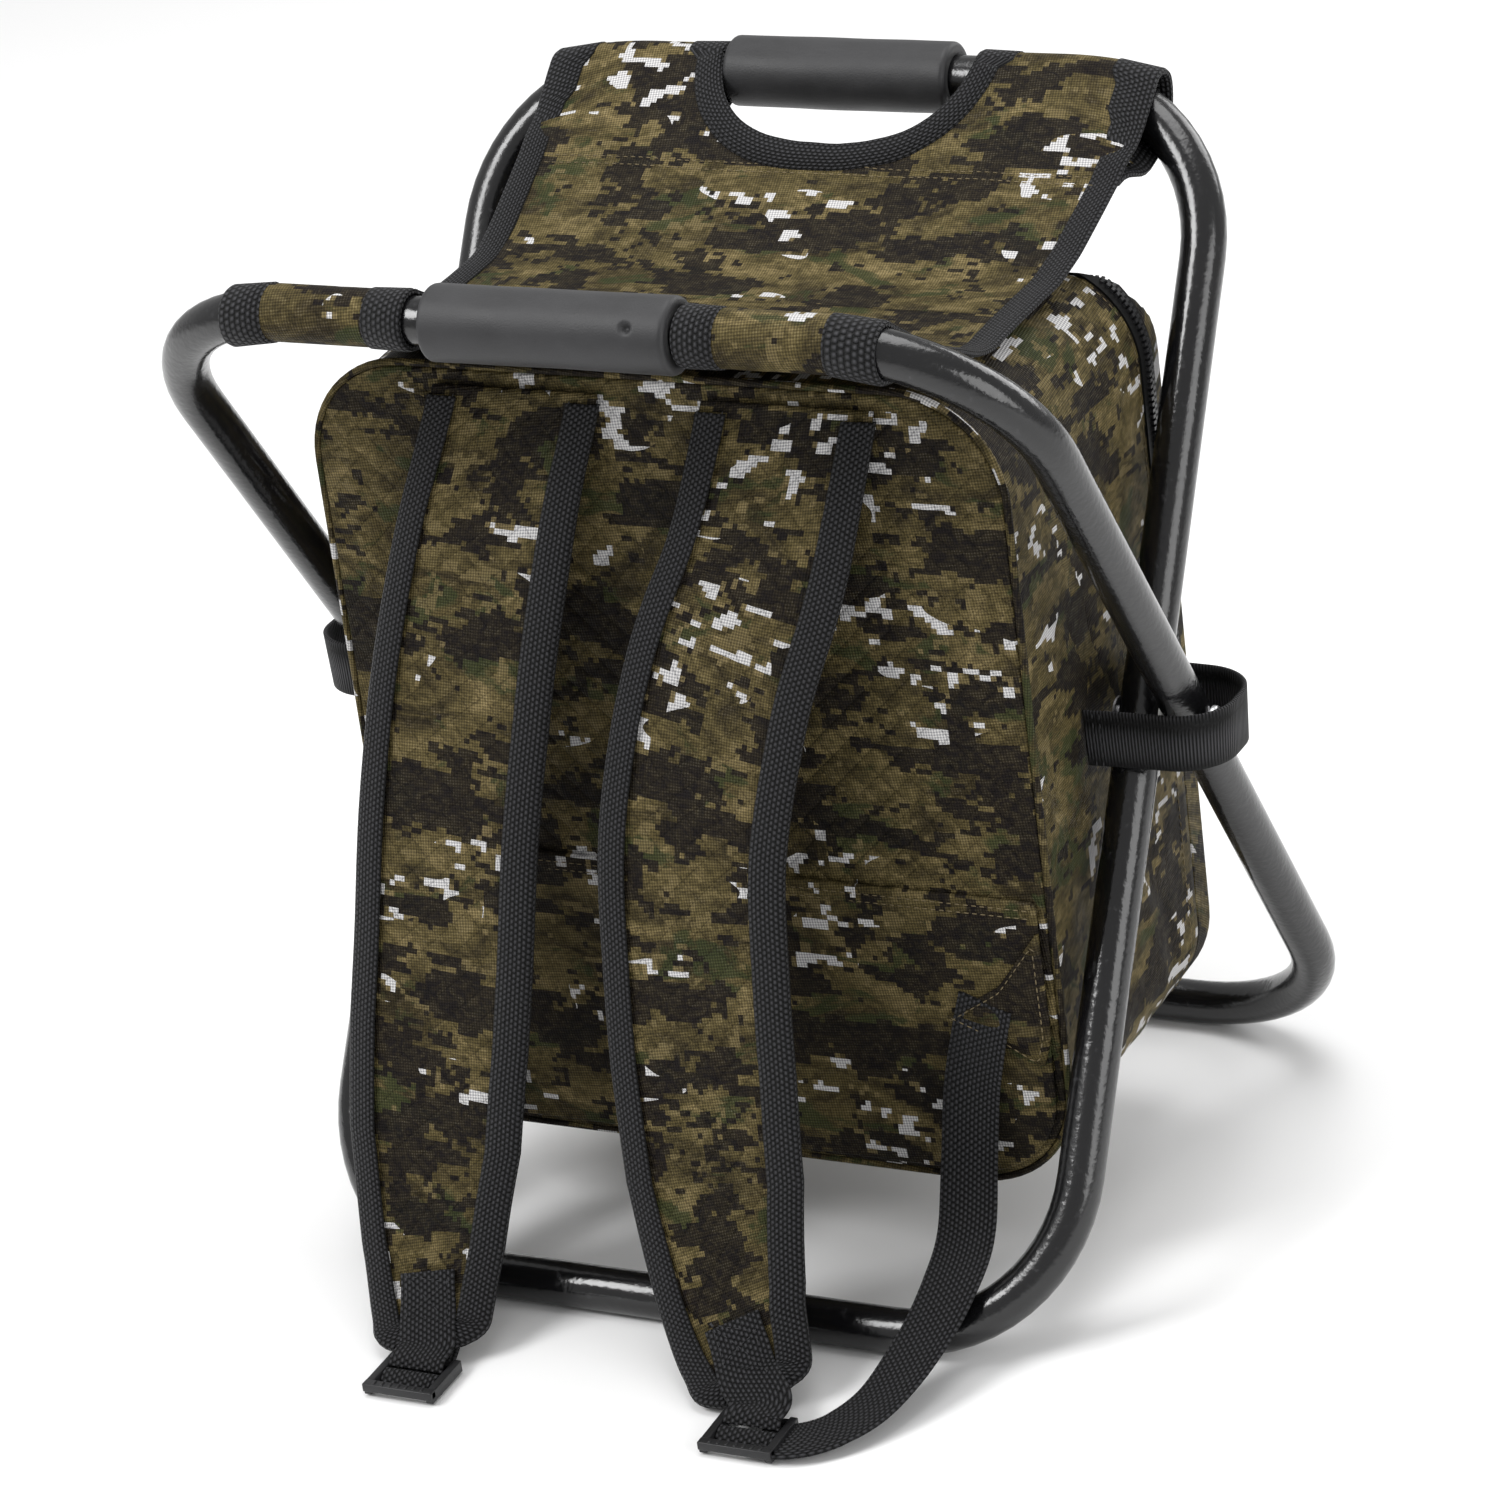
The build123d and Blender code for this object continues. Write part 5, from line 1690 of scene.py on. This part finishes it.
class STOOL_OT_stage(bpy.types.Operator):
    """Make the floor, the soft lights and the camera"""

    bl_idname = "stool.stage"
    bl_label = "Stage"

    def execute(self, context):
        stage = context.scene.stool_stage
        build_floor(stage)
        build_lights(stage)
        build_camera(stage)
        return {"FINISHED"}


def build_floor(stage):
    """Plain pale floor."""
    made, tree, shader = new_material("pale floor")
    place = add(tree, "ShaderNodeTexCoord").outputs["Object"]
    tint = mix_colour(tree, noise_at(tree, place, 3, 2, 0.5), rgba(stage.floor),
                      scaled(stage.floor, 1.02))
    tree.links.new(tint, shader.inputs["Base Color"])
    shader.inputs["Roughness"].default_value = 0.7
    mesh = bpy.data.meshes.new("floor")
    reach = 14.0
    mesh.from_pydata([(-reach, -reach, 0), (reach, -reach, 0), (reach, reach, 0), (-reach, reach, 0)], [],
                     [(0, 1, 2, 3)])
    mesh.materials.append(made)
    link(bpy.data.objects.new("floor", mesh))


def area_light(name, place, target, size, power):
    """Soft square light aimed at a point."""
    data = bpy.data.lights.new(name, "AREA")
    data.energy = power
    data.size = size
    made = link(bpy.data.objects.new(name, data))
    made.location = place
    made.rotation_euler = (Vector(target) - Vector(place)).to_track_quat("-Z", "Y").to_euler()
    return made


def build_lights(stage):
    """Key from the upper left, fill from the right, top and back softboxes, and a bright surround."""
    middle = (0, 0, 0.22)
    area_light("key", (-1.3, -1.5, 2.1), middle, 1.1, stage.key_power)
    area_light("fill", (2.3, -0.7, 1.0), middle, 1.4, stage.fill_power)
    area_light("top", (0.1, 0.3, 2.4), middle, 1.6, stage.key_power * 0.7)
    area_light("back", (1.0, 2.2, 1.3), middle, 1.4, stage.fill_power)
    world = bpy.data.worlds.new("surround")
    bpy.context.scene.world = world
    world.use_nodes = True
    surround = world.node_tree.nodes["Background"]
    surround.inputs[0].default_value = (1, 1, 1, 1)
    surround.inputs[1].default_value = 0.55


CAMERA_PLACE = (0.95384, -1.80135, 1.14872)
CAMERA_ANGLES = (28.265, 25.10, -7.4585)


def build_camera(stage):
    """Camera above the strap side, a little to the right and slightly rolled."""
    azimuth, elevation, roll = (math.radians(angle) for angle in CAMERA_ANGLES)
    back = Vector((math.sin(azimuth) * math.cos(elevation), -math.cos(azimuth) * math.cos(elevation),
                   math.sin(elevation)))
    right = Vector((math.cos(azimuth), math.sin(azimuth), 0))
    up = back.cross(right)
    rolled_right = math.cos(roll) * right + math.sin(roll) * up
    rolled_up = math.cos(roll) * up - math.sin(roll) * right
    data = bpy.data.cameras.new("view")
    data.lens = stage.focal
    data.sensor_width = 36
    camera = link(bpy.data.objects.new("view", data))
    turn = Matrix((rolled_right, rolled_up, back)).transposed().to_4x4()
    camera.matrix_world = Matrix.Translation(CAMERA_PLACE) @ turn
    bpy.context.scene.camera = camera
    bpy.context.scene.view_settings.view_transform = "Standard"


OPERATORS = (STOOL_OT_stage, STOOL_OT_finishes, STOOL_OT_repeats, STOOL_OT_frame,
             STOOL_OT_sling, STOOL_OT_bag, STOOL_OT_straps, STOOL_OT_stitches)


class STOOL_PT_panel(bpy.types.Panel):
    """Settings and operators of the stool"""

    bl_idname = "STOOL_PT_panel"
    bl_label = "Backpack stool"
    bl_space_type = "VIEW_3D"
    bl_region_type = "UI"
    bl_category = "Stool"

    def draw(self, context):
        for operator in OPERATORS:
            self.layout.operator(operator.bl_idname)
        for name in SETTINGS:
            box = self.layout.box()
            settings = getattr(context.scene, name)
            for item in settings.bl_rna.properties:
                if item.identifier not in ("rna_type", "name"):
                    box.prop(settings, item.identifier)


def register():
    """Register the settings, operators and panel."""
    for name, settings in SETTINGS.items():
        bpy.utils.register_class(settings)
        setattr(bpy.types.Scene, name, PointerProperty(type=settings))
    for item in OPERATORS + (STOOL_PT_panel,):
        bpy.utils.register_class(item)


def unregister():
    """Take the settings, operators and panel out again."""
    for item in reversed(OPERATORS + (STOOL_PT_panel,)):
        bpy.utils.unregister_class(item)
    for name, settings in SETTINGS.items():
        delattr(bpy.types.Scene, name)
        bpy.utils.unregister_class(settings)


def main():
    """Build everything in order."""
    register()
    for operator in OPERATORS:
        group, name = operator.bl_idname.split(".")
        getattr(getattr(bpy.ops, group), name)()


if __name__ == "__main__":
    main()
